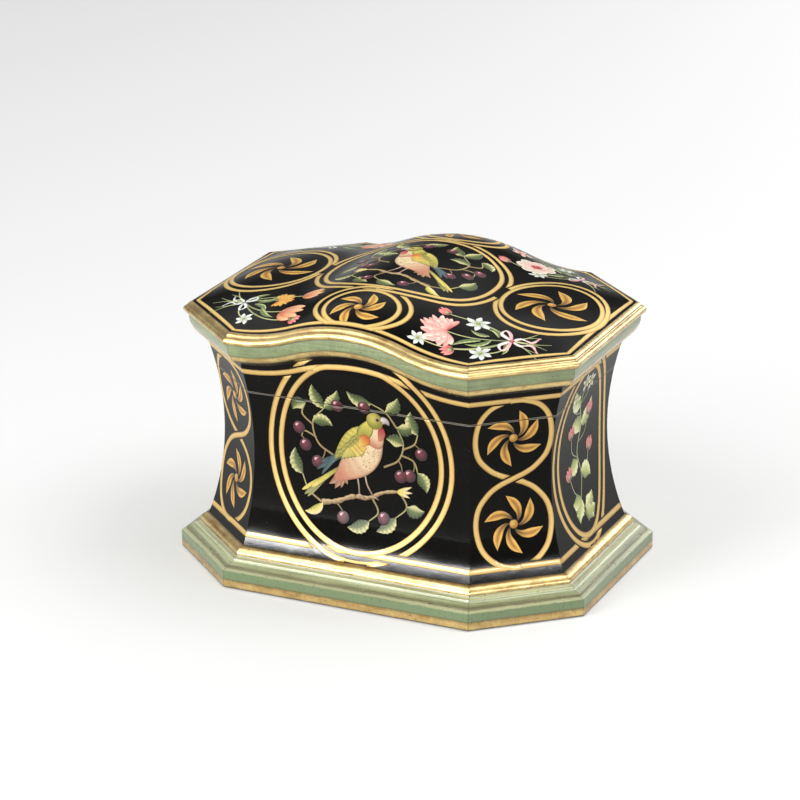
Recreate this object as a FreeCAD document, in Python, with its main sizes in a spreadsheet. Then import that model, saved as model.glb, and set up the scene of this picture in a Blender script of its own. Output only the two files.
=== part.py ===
import FreeCAD, Part
import Sketcher
import math
import os
import re

doc = FreeCAD.newDocument("LacquerCasket")

# Driving sizes in millimetres. Insets are measured inwards from the outline of the base board,
# heights upwards from the table that the casket stands on.
SIZES = [
    ("length", 200, "base board, left to right"),
    ("depth", 154, "base board, front to back"),
    ("chamfer_along", 40, "cut corner, leg along the front"),
    ("chamfer_back", 35, "cut corner, leg along the side"),
    ("overrun", 5, "how far a cutting shape runs past what it cuts"),
    ("baize_thickness", 0.5, "felt under the base"),
    ("baize_margin", 2, "felt edge, in from the base outline"),
    ("board_thickness", 8.6, "base board with the banded edge"),
    ("board_bevel_width", 2, "bevel on the top edge, inwards"),
    ("board_bevel_drop", 0.9, "bevel on the top edge, downwards"),
    ("foot_inset", 2.2, "face of the base moulding"),
    ("foot_height", 7.8, "base moulding, bottom to top"),
    ("foot_bed", 0.7, "how far the base moulding runs in under the wall"),
    ("waist_inset", 19.5, "narrowest line of the walls"),
    ("waist_height", 62, "height of the narrowest line"),
    ("flare_radius", 136, "hollow curve of the walls, seen in section"),
    ("wall_thickness", 5, "case and lid walls"),
    ("seam_height", 89, "middle of the parting line"),
    ("seam_gap", 0.3, "open hairline between case and lid"),
    ("lid_skirt", 14.4, "lid wall, parting line to moulding, at the corners"),
    ("rim_projection", 9.05, "lid moulding, out from the wall that it sits on"),
    ("rim_height", 16.2, "lid moulding, bottom to top"),
    ("rim_depth", 13.6, "lid moulding, front to back"),
    ("rim_cove_inset", 8.4, "foot of the lid moulding, in from its outermost line"),
    ("rabbet_width", 9.7, "seat in the lid moulding for the lid panel"),
    ("panel_edge", 3.5, "edge thickness of the lid panel"),
    ("panel_thickness", 3.5, "lid panel away from its edge"),
    ("cushion_rise", 9.4, "swell of the lid panel over its edge"),
    ("cushion_run", 14, "how far in the swell takes to build up"),
    ("arch_height", 9.5, "rise of the front and back rims"),
    ("arch_shoulder", 6, "level stretch from a corner to the rise"),
    ("pad_thickness", 1.6, "felt pad on the floor"),
    ("pad_clearance", 0.5, "gap round the floor pad"),
    ("hinge_spread", 34, "each hinge, out from the middle of the back"),
    ("leaf_length", 18, "hinge along the seam"),
    ("leaf_thickness", 0.9, "hinge leaf"),
    ("leaf_reach", 4, "leaf let into the wall's edge"),
    ("barrel_radius", 1.7, "hinge barrel"),
    ("barrel_gap", 0.35, "between the barrel and the turning wall edge"),
    ("middle_knuckle", 5.4, "the lid leaf's knuckle"),
    ("knuckle_gap", 0.3, "end play beside the middle knuckle"),
    ("pin_radius", 0.8, "hinge pin"),
    ("pin_proud", 0.3, "pin past each end of the barrel"),
    ("running_clearance", 0.05, "round the pin and round the screws"),
    ("recess_clearance", 0.1, "round the leaf in its recess"),
    ("screw_radius", 0.65, "hinge screw shank"),
    ("screw_length", 5, "hinge screw with its head"),
    ("screw_head_radius", 1.2, "countersunk head"),
    ("screw_head_height", 0.7, "countersunk head"),
    ("screw_spread", 5.5, "each screw, out from the middle of its hinge"),
]

sheet = doc.addObject("Spreadsheet::Sheet", "Sizes")
for row, (alias, value, meaning) in enumerate(SIZES, start=1):
    sheet.set(f"A{row}", alias)
    sheet.set(f"B{row}", str(value))
    sheet.set(f"C{row}", meaning)
    sheet.setAlias(f"B{row}", alias)
doc.recompute()
NAMES = {alias for alias, value, meaning in SIZES}


def bound(text):
    """The text of a size with each named value looked up in the sheet."""
    return re.sub(r"[a-z_]+", lambda m: "Sizes." + m[0] if m[0] in NAMES else m[0], text)


def size(text):
    """The number that the text of a size stands for at this moment."""
    return float(sheet.evalExpression(bound(text)))


# Places that follow from the driving sizes, each as the text of an expression.
HALF_LENGTH = "(length / 2)"
HALF_DEPTH = "(depth / 2)"
LONG_HALF = "(length / 2 - chamfer_along)"
SHORT_HALF = "(depth / 2 - chamfer_back)"
CHAMFER = "sqrt(chamfer_along ^ 2 + chamfer_back ^ 2)"
CHAMFER_TURN = "atan(chamfer_back / chamfer_along)"
LONG_MITRE = f"tan({CHAMFER_TURN} / 2)"
SHORT_MITRE = "tan(atan(chamfer_along / chamfer_back) / 2)"
CHAMFER_FACE = f"(({HALF_LENGTH} * chamfer_back + {SHORT_HALF} * chamfer_along) / {CHAMFER})"
CHAMFER_NEAR = f"(({LONG_HALF} * chamfer_along - {HALF_DEPTH} * chamfer_back) / {CHAMFER})"
CHAMFER_FAR = f"(({HALF_LENGTH} * chamfer_along - {SHORT_HALF} * chamfer_back) / {CHAMFER})"


def flare(height, more="0"):
    """Inset of the hollow wall face at a height, moved in by more."""
    drop = f"sqrt(flare_radius ^ 2 - ({height} - waist_height) ^ 2)"
    return f"(waist_inset - flare_radius + {drop} + {more})"


BOARD_TOP = "(baize_thickness + board_thickness)"
FOOT_TOP = f"({BOARD_TOP} + foot_height)"
FOOT_BACK = f"({flare(FOOT_TOP)} + foot_bed)"
FOOT_DEPTH = f"({FOOT_BACK} - foot_inset)"
CASE_TOP = "(seam_height - seam_gap / 2)"
LID_BOTTOM = "(seam_height + seam_gap / 2)"
RIM_SEAT = "(seam_height + lid_skirt)"
RIM_TOP = f"({RIM_SEAT} + rim_height)"
RIM_INSET = f"({flare(RIM_SEAT)} - rim_projection)"
RIM_BACK = f"({RIM_INSET} + rim_depth)"
COVE_FOOT = f"({RIM_INSET} + rim_cove_inset)"
PANEL_EDGE = f"({RIM_BACK} - rabbet_width)"
PANEL_SEAT = f"({RIM_TOP} - panel_edge)"
ARCH_HALF = f"({LONG_HALF} - arch_shoulder)"

# The rise of the front and back rims is four like arcs of this radius. The two shares give a
# place on the lowest arc, of the half width and of the height.
ARCH_RADIUS = f"(({ARCH_HALF} ^ 2 + arch_height ^ 2) / (4 * arch_height))"
EASE_SHARE = "0.75"
EASE_AWAY = f"({ARCH_HALF} * (1 - {EASE_SHARE}))"
EASE_RISE_SHARE = f"(({ARCH_RADIUS} - sqrt({ARCH_RADIUS} ^ 2 - {EASE_AWAY} ^ 2)) / arch_height)"


# Sketches, pads and cuts that the pieces below share.
def new_body(label):
    body = doc.addObject("PartDesign::Body", label)
    body.Label = label
    return body


def plane_sketch(body, role, name, offset=None):
    """A sketch on one of the body's own planes, moved along its normal by offset."""
    sketch = body.newObject("Sketcher::SketchObject", name)
    plane = [f for f in body.Origin.OriginFeatures if f.Role == role][0]
    sketch.AttachmentSupport = [(plane, "")]
    sketch.MapMode = "FlatFace"
    if offset is not None:
        sketch.setExpression("AttachmentOffset.Base.z", bound(offset))
    return sketch


def pin_point(sketch, index, end, across, up):
    """Holds a point of the sketch at its named place."""
    for kind, text in (("DistanceX", across), ("DistanceY", up)):
        number = sketch.addConstraint(Sketcher.Constraint(kind, -1, 1, index, end, size(text)))
        sketch.setExpression(f"Constraints[{number}]", bound(text))


def arc_through(here, by, there):
    """An arc drawn anticlockwise, and the end of it that lies at the first point."""
    arc = Part.Arc(here, by, there).toShape().Curve
    forward = (by - here).cross(there - by).z > 0
    start, stop = (here, there) if forward else (there, here)
    turns = [math.atan2(spot.y - arc.Center.y, spot.x - arc.Center.x) for spot in (start, stop)]
    whole = Part.Circle(arc.Center, FreeCAD.Vector(0, 0, 1), arc.Radius)
    return Part.ArcOfCircle(whole, *turns), 1 if forward else 2


def outline(sketch, points, closed=True):
    """Lines and arcs through points. A point is (across, up), and (across, up, "by") is a point
    that an arc passes on its way from the point before it to the one after."""
    spots = [FreeCAD.Vector(size(p[0]), size(p[1]), 0) for p in points]
    ends = [i for i, p in enumerate(points) if len(p) == 2]
    hops = list(zip(ends, ends[1:] + ends[:1])) if closed else list(zip(ends, ends[1:]))
    first = sketch.GeometryCount
    heads = []
    for here, there in hops:
        by = (here + 1) % len(points)
        curve, head = Part.LineSegment(spots[here], spots[there]), 1
        if by != there:
            curve, head = arc_through(spots[here], spots[by], spots[there])
        sketch.addGeometry(curve, False)
        heads.append(head)
    count = len(hops)
    for step in range(count if closed else count - 1):
        after = (step + 1) % count
        sketch.addConstraint(Sketcher.Constraint("Coincident", first + step, 3 - heads[step],
                                                 first + after, heads[after]))
    for step, (here, there) in enumerate(hops):
        pin_point(sketch, first + step, heads[step], *points[here][:2])
        by = (here + 1) % len(points)
        if by != there:
            mark = sketch.addGeometry(Part.Point(spots[by]), True)
            pin_point(sketch, mark, 1, *points[by][:2])
            sketch.addConstraint(Sketcher.Constraint("PointOnObject", mark, 1, first + step))
    if not closed:
        pin_point(sketch, first + count - 1, 3 - heads[-1], *points[-1][:2])


def circle(sketch, across, up, radius):
    spot = FreeCAD.Vector(size(across), size(up), 0)
    index = sketch.addGeometry(Part.Circle(spot, FreeCAD.Vector(0, 0, 1), size(radius)), False)
    pin_point(sketch, index, 3, across, up)
    number = sketch.addConstraint(Sketcher.Constraint("Radius", index, size(radius)))
    sketch.setExpression(f"Constraints[{number}]", bound(radius))


def pad(body, sketch, length, symmetric=False):
    feature = body.newObject("PartDesign::Pad", body.Name + "Pad")
    feature.Profile = sketch
    feature.setExpression("Length", bound(length))
    feature.SideType = "Symmetric" if symmetric else "One side"
    doc.recompute()
    return feature


def pocket(body, sketch, length=None, upwards=False, both=False, taper=None):
    """Cuts the sketch out of the body, and stops if nothing came away."""
    before = body.Shape.Volume
    feature = body.newObject("PartDesign::Pocket", body.Name + "Pocket")
    feature.Profile = sketch
    feature.Reversed = upwards
    feature.SideType = "Symmetric" if both else "One side"
    if length is None:
        feature.Type = "ThroughAll"
    else:
        feature.setExpression("Length", bound(length))
    if taper is not None:
        feature.setExpression("TaperAngle", bound(taper))
    doc.recompute()
    if not body.Shape.Volume < before:
        raise ValueError(f"a cut in {body.Label} took nothing away")
    return feature


def octagon(inset, mid_front=False):
    """The cut-cornered plan, moved in by inset, from the middle of the front round to the right."""
    long_end = f"({LONG_HALF} - {inset} * {LONG_MITRE})"
    short_end = f"({SHORT_HALF} - {inset} * {SHORT_MITRE})"
    side, front = f"({HALF_LENGTH} - {inset})", f"({HALF_DEPTH} - {inset})"
    ring = [(long_end, f"-{front}"), (side, f"-{short_end}"), (side, short_end), (long_end, front),
            (f"-{long_end}", front), (f"-{side}", short_end), (f"-{side}", f"-{short_end}"),
            (f"-{long_end}", f"-{front}")]
    return [("0", f"-{front}")] + ring if mid_front else ring


def octagon_plate(label, inset, bottom, height):
    body = new_body(label)
    sketch = plane_sketch(body, "XY_Plane", label + "Plan", bottom)
    outline(sketch, octagon(inset))
    pad(body, sketch, height)
    return body


def arch_points(half, level):
    """The rise of the rim seen from the front, four like arcs, from left to right."""
    low = f"{level} + arch_height * {EASE_RISE_SHARE}"
    high = f"{level} + arch_height * (1 - {EASE_RISE_SHARE})"
    middle = f"{level} + arch_height / 2"
    return [
        (f"-{half}", level), (f"-{ARCH_HALF}", level), (f"-({ARCH_HALF} * {EASE_SHARE})", low, "by"),
        (f"-{ARCH_HALF} / 2", middle), (f"-{EASE_AWAY}", high, "by"), ("0", f"{level} + arch_height"),
        (EASE_AWAY, high, "by"), (f"{ARCH_HALF} / 2", middle), (f"{ARCH_HALF} * {EASE_SHARE}", low, "by"),
        (ARCH_HALF, level), (half, level),
    ]


def above_arch(label, level):
    """A block over the rim's rise, for cutting what stands too high under it."""
    body = new_body(label)
    sketch = plane_sketch(body, "XZ_Plane", label + "Side")
    top = f"({level} + arch_height + rim_height + cushion_rise + overrun)"
    rise = arch_points(f"({HALF_LENGTH} + overrun)", level)
    outline(sketch, rise + [(f"({HALF_LENGTH} + overrun)", top), (f"-({HALF_LENGTH} + overrun)", top)])
    pad(body, sketch, "depth + 2 * overrun", symmetric=True)
    return body


# Mouldings. Each face of the casket has its own length, mitred at both ends.
# A face has its distance from the middle, its two ends, and how far each mitre gives way per inset.
FACES = {
    "long": (HALF_DEPTH, f"-{LONG_HALF}", LONG_HALF, LONG_MITRE, LONG_MITRE),
    "short": (HALF_LENGTH, f"-{SHORT_HALF}", SHORT_HALF, SHORT_MITRE, SHORT_MITRE),
    "right_hand": (CHAMFER_FACE, CHAMFER_NEAR, CHAMFER_FAR, LONG_MITRE, SHORT_MITRE),
    "left_hand": (CHAMFER_FACE, f"-{CHAMFER_FAR}", f"-{CHAMFER_NEAR}", SHORT_MITRE, LONG_MITRE),
}
PLACES = [
    ("front", "long", "0"),
    ("front_right", "right_hand", CHAMFER_TURN),
    ("right", "short", "90"),
    ("back_right", "left_hand", f"180 deg - {CHAMFER_TURN}"),
    ("back", "long", "180"),
    ("back_left", "right_hand", f"180 deg + {CHAMFER_TURN}"),
    ("left", "short", "270"),
    ("front_left", "left_hand", f"360 deg - {CHAMFER_TURN}"),
]


def section(shares, face, inset, depth, bottom, height):
    """A moulding's section on its face, from shares of its depth and height."""
    return [(f"-({face} - {inset} - {depth} * {point[0]})", f"{bottom} + {height} * {point[1]}", *point[2:])
            for point in shares]


def moulding(label, kind, turn, shares, inset, depth, bottom, height, arched=False):
    face, start, end, start_mitre, end_mitre = FACES[kind]
    body = new_body(label)
    profile = plane_sketch(body, "YZ_Plane", label + "Section", start)
    outline(profile, section(shares, face, inset, depth, bottom, height))
    if arched:
        path = plane_sketch(body, "XZ_Plane", label + "Rise")
        outline(path, arch_points(end, "0"), closed=False)
        doc.recompute()
        sweep = body.newObject("PartDesign::AdditivePipe", label + "Sweep")
        sweep.Profile = profile
        sweep.Spine = path
        sweep.Mode = "Fixed"
        doc.recompute()
    else:
        pad(body, profile, f"{end} - {start}")
    mitres = plane_sketch(body, "XY_Plane", label + "Mitres")
    reach = f"({inset} + {depth} + overrun)"
    for tip, sign, mitre in ((start, "-", start_mitre), (end, "+", end_mitre)):
        back = "+" if sign == "-" else "-"
        outline(mitres, [
            (f"{tip} {sign} {mitre} * overrun", f"-({face} + overrun)"),
            (f"{tip} {sign} overrun", f"-({face} + overrun)"),
            (f"{tip} {sign} overrun", f"-({face} - {reach})"),
            (f"{tip} {back} {mitre} * {reach}", f"-({face} - {reach})"),
        ])
    doc.recompute()
    pocket(body, mitres, upwards=True)
    body.setExpression("Placement.Rotation.Angle", bound(turn))
    return body


def swept_ring(label, points):
    """A section carried right round the casket's plan, with sharp corners."""
    body = new_body(label)
    path = plane_sketch(body, "XY_Plane", label + "Plan")
    outline(path, octagon("0", mid_front=True))
    profile = plane_sketch(body, "YZ_Plane", label + "Section")
    outline(profile, [(f"-({HALF_DEPTH} - {p[0]})", *p[1:]) for p in points])
    doc.recompute()
    sweep = body.newObject("PartDesign::AdditivePipe", label + "Sweep")
    sweep.Profile = profile
    sweep.Spine = path
    sweep.Transition = "Right corner"
    doc.recompute()
    return body


# Base: felt underneath, a thick board with a bevelled top edge, and the base moulding round it.
octagon_plate("base_baize", "baize_margin", "0", "baize_thickness")

board = octagon_plate("base_board", "0", "baize_thickness", "board_thickness - board_bevel_drop")
bevel = []
for name, inset, height in (("BevelFoot", "0", f"{BOARD_TOP} - board_bevel_drop"),
                            ("BevelTop", "board_bevel_width", BOARD_TOP)):
    ring = plane_sketch(board, "XY_Plane", "base_board" + name, height)
    outline(ring, octagon(inset))
    bevel.append(ring)
doc.recompute()
slope = board.newObject("PartDesign::AdditiveLoft", "base_boardBevel")
slope.Profile = bevel[0]
slope.Sections = bevel[1:]
slope.Ruled = True
doc.recompute()

# The base moulding in shares of its depth, from its face, and of its height, from the board:
# a small step, a hollow, and a gilt quarter round under the wall.
foot_shares = [
    (0, 0), (0, 0.09), (0.11, 0.14), (0.26, 0.23), (0.33, 0.3, "by"), (0.36, 0.42),
    (0.52, 0.47), (0.56, 0.54), (0.66, 0.86, "by"), (0.91, 1), (1, 1), (1, 0),
]
for place, kind, turn in PLACES:
    moulding("base_moulding_" + place, kind, turn, foot_shares, "foot_inset", FOOT_DEPTH, BOARD_TOP,
             "foot_height")

# Case wall: one moulded shell with hollow faces, standing on the board inside the moulding.
case = swept_ring("case_wall", [
    (FOOT_BACK, BOARD_TOP),
    (FOOT_BACK, FOOT_TOP),
    (flare(FOOT_TOP), FOOT_TOP),
    (flare("waist_height"), "waist_height", "by"),
    (flare(CASE_TOP), CASE_TOP),
    (flare(CASE_TOP, "wall_thickness"), CASE_TOP),
    (flare("waist_height", "wall_thickness"), "waist_height", "by"),
    (flare(FOOT_TOP, "wall_thickness"), FOOT_TOP),
    (flare(FOOT_TOP, "wall_thickness"), BOARD_TOP),
])

# Lid wall: the same shell above the parting line. Higher up its face turns upright, so that the
# front and back can follow the rise of the rim.
upright = f"(waist_height + sqrt(flare_radius ^ 2 - (flare_radius - waist_inset + {COVE_FOOT}) ^ 2))"
between = f"(({LID_BOTTOM} + {upright}) / 2)"
lid_top = f"({RIM_SEAT} + arch_height + overrun)"
lid = swept_ring("lid_wall", [
    (flare(LID_BOTTOM), LID_BOTTOM),
    (flare(between), between, "by"),
    (COVE_FOOT, upright),
    (COVE_FOOT, lid_top),
    (f"({COVE_FOOT} + wall_thickness)", lid_top),
    (f"({COVE_FOOT} + wall_thickness)", upright),
    (flare(between, "wall_thickness"), between, "by"),
    (flare(LID_BOTTOM, "wall_thickness"), LID_BOTTOM),
])
cut = plane_sketch(lid, "XZ_Plane", "lid_wallRise")
cut_top = f"({lid_top} + overrun)"
cut_half = f"({HALF_LENGTH} + overrun)"
outline(cut, arch_points(cut_half, RIM_SEAT) + [(cut_half, cut_top), (f"-{cut_half}", cut_top)])
doc.recompute()
pocket(lid, cut, "depth + 2 * overrun", both=True)

# The lid moulding in the same shares: a cove, a gilt fillet, a green frieze, a gilt bead and a
# gilt ogee, with a rabbet behind it for the lid panel.
seat_share = "(1 - panel_edge / rim_height)"
rabbet_share = "(1 - rabbet_width / rim_depth)"
rim_shares = [
    ("rim_cove_inset / rim_depth", 0), (0.44, 0.1, "by"), (0.34, 0.15), (0.29, 0.22, "by"),
    (0.25, 0.31), (0.225, 0.33), (0.17, 0.48, "by"), (0.17, 0.64), (0.14, 0.67), (0, 0.785, "by"),
    (0.12, 0.885), (0.14, 0.9), (0.19, 0.965, "by"), (0.25, 0.99), (rabbet_share, 1),
    (rabbet_share, seat_share), (1, seat_share), (1, 0),
]
for place, kind, turn in PLACES:
    moulding("lid_rim_" + place, kind, turn, rim_shares, RIM_INSET, "rim_depth", RIM_SEAT,
             "rim_height", arched=place in ("front", "back"))


# Lid panel: a swelling surface over the whole plan, thick at its edge, where it sits in the
# rabbet, and hollow underneath.
GRID_ACROSS = 41
GRID_BACK = 33


def rise(across):
    """Height of the rim's rise at a distance to either side of its middle."""
    half, height, radius = size(ARCH_HALF), size("arch_height"), size(ARCH_RADIUS)
    away = abs(across)
    if away >= half:
        return 0.0
    if away > half / 2:
        return radius - (radius ** 2 - (half - away) ** 2) ** 0.5
    return height - radius + (radius ** 2 - away ** 2) ** 0.5


def crown_surface():
    """The lid panel's top: its edge, the rise, and a swell that dies out towards all eight sides."""
    half_length, half_depth, inset = size(HALF_LENGTH), size(HALF_DEPTH), size(PANEL_EDGE)
    slant = size(CHAMFER)
    corner = (size("chamfer_back") / slant, size("chamfer_along") / slant)
    sides = [(1, 0, half_length), (0, 1, half_depth), (*corner, size(CHAMFER_FACE)),
             (corner[0], -corner[1], size(CHAMFER_FACE))]
    run, top, swell = size("cushion_run"), size(RIM_TOP), size("cushion_rise")
    grid = []
    for i in range(GRID_ACROSS):
        across = half_length * (2 * i / (GRID_ACROSS - 1) - 1)
        line = []
        for j in range(GRID_BACK):
            back = half_depth * (2 * j / (GRID_BACK - 1) - 1)
            share = 1.0
            for to_right, to_back, reach in sides:
                along = to_right * across + to_back * back
                for inward in (reach - inset - along, reach - inset + along):
                    share *= 1 - math.exp(-inward / run) if inward > 0 else inward / run
            line.append(FreeCAD.Vector(across, back, top + rise(across) + swell * share))
        grid.append(line)
    surface = Part.BSplineSurface()
    surface.interpolate(grid)
    sheet_face = doc.addObject("Part::Feature", "CrownSurface")
    sheet_face.Shape = surface.toShape()
    return sheet_face


def below_crown(label, drop):
    """Everything under the panel's top surface, lowered by drop, as deep as the casket is high."""
    block = doc.addObject("Part::Extrusion", label)
    block.Base = crown
    block.Dir = (0, 0, -1)
    block.DirMode = "Custom"
    block.Solid = True
    block.setExpression("LengthFwd", bound(RIM_TOP))
    block.setExpression("Placement.Base.z", bound(f"-{drop}"))
    return block


def boolean(kind, label, base, tool):
    result = doc.addObject(kind, label)
    result.Base = base
    result.Tool = tool
    result.Label = label
    doc.recompute()
    return result


crown = crown_surface()
column_height = f"({RIM_TOP} + arch_height + cushion_rise + overrun - seam_height)"
panel_column = octagon_plate("PanelColumn", PANEL_EDGE, "seam_height", column_height)
hollow_column = octagon_plate("HollowColumn", RIM_BACK, "seam_height", column_height)
seat_block = above_arch("SeatBlock", PANEL_SEAT)
swell_block = boolean("Part::Common", "SwellBlock", below_crown("UnderCrown", "0"), panel_column)
hollow_block = boolean("Part::Common", "HollowBlock", below_crown("UnderHollow", "panel_thickness"),
                       hollow_column)
solid_panel = boolean("Part::Common", "SolidPanel", swell_block, seat_block)
boolean("Part::Cut", "lid_panel", solid_panel, hollow_block)

# Floor pad: loose felt on the board, inside the wall.
octagon_plate("floor_pad", f"({flare(FOOT_TOP, 'wall_thickness')} + pad_clearance)", BOARD_TOP,
              "pad_thickness")

# Hinges: two brass butts on the parting line at the back. Each leaf is let into the edge of its
# wall, and the barrel lies outside, far enough out for the lid's lower edge to turn past it.
WALL_BACK = f"({HALF_DEPTH} - {flare('seam_height')})"
BARREL_BACK = f"({WALL_BACK} + barrel_radius + barrel_gap)"
LEAF_FRONT = f"({WALL_BACK} - leaf_reach)"
SCREW_BACK = f"({WALL_BACK} - leaf_reach / 2)"
SHANK_HOLE = "(screw_radius + running_clearance)"
MIDDLE_HALF = "(middle_knuckle / 2)"
GAP_HALF = "(middle_knuckle / 2 + knuckle_gap)"
LEAF_HALF = "(leaf_length / 2)"
SINK_SLOPE = "atan((screw_head_radius - screw_radius) / screw_head_height)"
HINGES = [("left", "-hinge_spread"), ("right", "hinge_spread")]
LEAVES = {
    "case": (f"({CASE_TOP} - leaf_thickness)", [(f"-{GAP_HALF}", GAP_HALF)]),
    "lid": (LID_BOTTOM, [(f"-({LEAF_HALF} + overrun)", f"-{MIDDLE_HALF}"),
                         (MIDDLE_HALF, f"({LEAF_HALF} + overrun)")]),
}


def rectangle(sketch, left, right, low, high):
    outline(sketch, [(left, low), (right, low), (right, high), (left, high)])


def hinge_leaf(side, part, shift):
    """One leaf with its knuckles, bored for the pin and countersunk for two screws."""
    bottom, notches = LEAVES[part]
    label = f"hinge_{part}_leaf_{side}"
    body = new_body(label)
    plate = plane_sketch(body, "XY_Plane", label + "Plate", bottom)
    rectangle(plate, f"-{LEAF_HALF}", LEAF_HALF, LEAF_FRONT, BARREL_BACK)
    pad(body, plate, "leaf_thickness")
    barrel = plane_sketch(body, "YZ_Plane", label + "Barrel")
    circle(barrel, BARREL_BACK, "seam_height", "barrel_radius")
    pad(body, barrel, "leaf_length", symmetric=True)
    notch = plane_sketch(body, "XY_Plane", label + "Notch", "seam_height - barrel_radius - overrun")
    for start, end in notches:
        rectangle(notch, start, end, WALL_BACK, f"({BARREL_BACK} + barrel_radius + overrun)")
    doc.recompute()
    pocket(body, notch, upwards=True)
    bore = plane_sketch(body, "YZ_Plane", label + "Bore")
    circle(bore, BARREL_BACK, "seam_height", "pin_radius + running_clearance")
    doc.recompute()
    pocket(body, bore, "leaf_length + 2 * overrun", both=True)
    holes = plane_sketch(body, "XY_Plane", label + "Holes", bottom)
    sinks = plane_sketch(body, "XY_Plane", label + "Sinks", CASE_TOP if part == "case" else LID_BOTTOM)
    for sign in ("-", ""):
        circle(holes, f"{sign}screw_spread", SCREW_BACK, SHANK_HOLE)
        circle(sinks, f"{sign}screw_spread", SCREW_BACK, "screw_head_radius + running_clearance")
    doc.recompute()
    pocket(body, holes, "leaf_thickness", upwards=True)
    pocket(body, sinks, "screw_head_height", upwards=part == "lid", taper=f"-{SINK_SLOPE}")
    body.setExpression("Placement.Base.x", bound(shift))
    return body


def recess(body, part, role):
    """Lets both leaves into the edge of a wall, with holes for their screws."""
    edge = CASE_TOP if part == "case" else LID_BOTTOM
    beds = plane_sketch(body, "XY_Plane", body.Name + "Beds", edge)
    holes = plane_sketch(body, "XY_Plane", body.Name + "Holes", edge)
    for side, shift in HINGES:
        reach = "(leaf_length / 2 + recess_clearance)"
        rectangle(beds, f"{shift} - {reach}", f"{shift} + {reach}", f"({LEAF_FRONT} - recess_clearance)",
                  f"({WALL_BACK} + overrun)")
        for sign in "-+":
            circle(holes, f"{shift} {sign} screw_spread", SCREW_BACK, SHANK_HOLE)
    doc.recompute()
    pocket(body, beds, "leaf_thickness", upwards=part == "lid")
    pocket(body, holes, "screw_length + running_clearance", upwards=part == "lid")


def screws(part):
    """The four countersunk screws of one wall, their heads flush with the leaves."""
    edge, inwards = (CASE_TOP, "-") if part == "case" else (LID_BOTTOM, "+")
    made = []
    for side, shift in HINGES:
        for sign in "-+":
            name = f"Screw{part}{side}{'Near' if sign == '-' else 'Far'}"
            shank = doc.addObject("Part::Cylinder", name + "Shank")
            shank.setExpression("Radius", bound("screw_radius"))
            shank.setExpression("Height", bound("screw_length"))
            head = doc.addObject("Part::Cone", name + "Head")
            head.setExpression("Radius1", bound("screw_head_radius"))
            head.setExpression("Radius2", bound("screw_radius"))
            head.setExpression("Height", bound("screw_head_height"))
            for piece in (shank, head):
                piece.setExpression("Placement.Base.x", bound(f"{shift} {sign} screw_spread"))
                piece.setExpression("Placement.Base.y", bound(SCREW_BACK))
                piece.setExpression("Placement.Base.z", bound(edge))
                if part == "case":
                    piece.Placement.Rotation = FreeCAD.Rotation(FreeCAD.Vector(1, 0, 0), 180)
            made.append(boolean("Part::Fuse", name, shank, head))
    group = doc.addObject("Part::Compound", f"hinge_{part}_screws")
    group.Links = made
    group.Label = f"hinge_{part}_screws"


for side, shift in HINGES:
    hinge_leaf(side, "case", shift)
    hinge_leaf(side, "lid", shift)
    pin = new_body("hinge_pin_" + side)
    pin_end = plane_sketch(pin, "YZ_Plane", "hinge_pin_" + side + "End")
    circle(pin_end, BARREL_BACK, "seam_height", "pin_radius")
    pad(pin, pin_end, "leaf_length + 2 * pin_proud", symmetric=True)
    pin.setExpression("Placement.Base.x", bound(shift))
recess(case, "case", "top")
recess(lid, "lid", "bottom")
screws("case")
screws("lid")
doc.recompute()

# The pieces of the casket, each under the name that its file has.
AROUND = [place for place, kind, turn in PLACES]
PIECES = ["base_baize", "base_board", "case_wall", "floor_pad", "lid_wall", "lid_panel",
          "hinge_case_leaf_left", "hinge_case_leaf_right", "hinge_lid_leaf_left", "hinge_lid_leaf_right",
          "hinge_pin_left", "hinge_pin_right", "hinge_case_screws", "hinge_lid_screws"]
PIECES += ["base_moulding_" + place for place in AROUND] + ["lid_rim_" + place for place in AROUND]

for item in doc.Objects:
    if "Invalid" in item.State or "Error" in item.State:
        raise ValueError(f"{item.Name} did not build")
os.makedirs("parts", exist_ok=True)
for name in PIECES:
    piece = doc.getObjectsByLabel(name)[0]
    if piece.Shape.isNull() or not piece.Shape.isValid() or not piece.Shape.Solids:
        raise ValueError(f"{name} is not a sound solid")
    piece.Shape.exportStep(f"parts/{name}.step")
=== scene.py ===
import math
import random
from functools import partial, reduce

import bmesh
import bpy
from mathutils import Matrix, Vector
from mathutils.bvhtree import BVHTree


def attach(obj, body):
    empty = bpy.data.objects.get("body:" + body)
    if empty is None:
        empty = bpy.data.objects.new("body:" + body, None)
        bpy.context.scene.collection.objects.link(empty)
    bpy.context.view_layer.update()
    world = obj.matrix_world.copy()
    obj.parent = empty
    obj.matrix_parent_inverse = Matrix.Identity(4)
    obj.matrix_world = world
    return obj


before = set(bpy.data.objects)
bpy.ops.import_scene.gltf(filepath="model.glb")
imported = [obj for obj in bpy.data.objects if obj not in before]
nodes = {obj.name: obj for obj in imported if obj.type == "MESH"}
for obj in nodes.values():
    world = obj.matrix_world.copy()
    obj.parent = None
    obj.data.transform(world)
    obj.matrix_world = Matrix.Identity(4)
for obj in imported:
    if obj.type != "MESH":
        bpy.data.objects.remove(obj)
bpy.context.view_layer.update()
scene = bpy.context.scene

# Camera, floor and lamps: a white studio sweep with large soft lamps above the right and the left
# front, one behind, and two low strip lamps that the glossy foot of the walls shows.
MM = 0.001


def shade(red, green, blue):
    """A colour as it looks on screen, turned to the values that the shaders use."""
    return tuple((c / 255 / 12.92 if c <= 10 else ((c / 255 + 0.055) / 1.055) ** 2.4)
                 for c in (red, green, blue)) + (1.0,)



def math_step(operation):
    """A sum of one or two values of a finish."""
    def result(first, second=0.0):
        return add(first.tree, "Math", {0: first, 1: second}, operation=operation)
    return result


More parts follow.
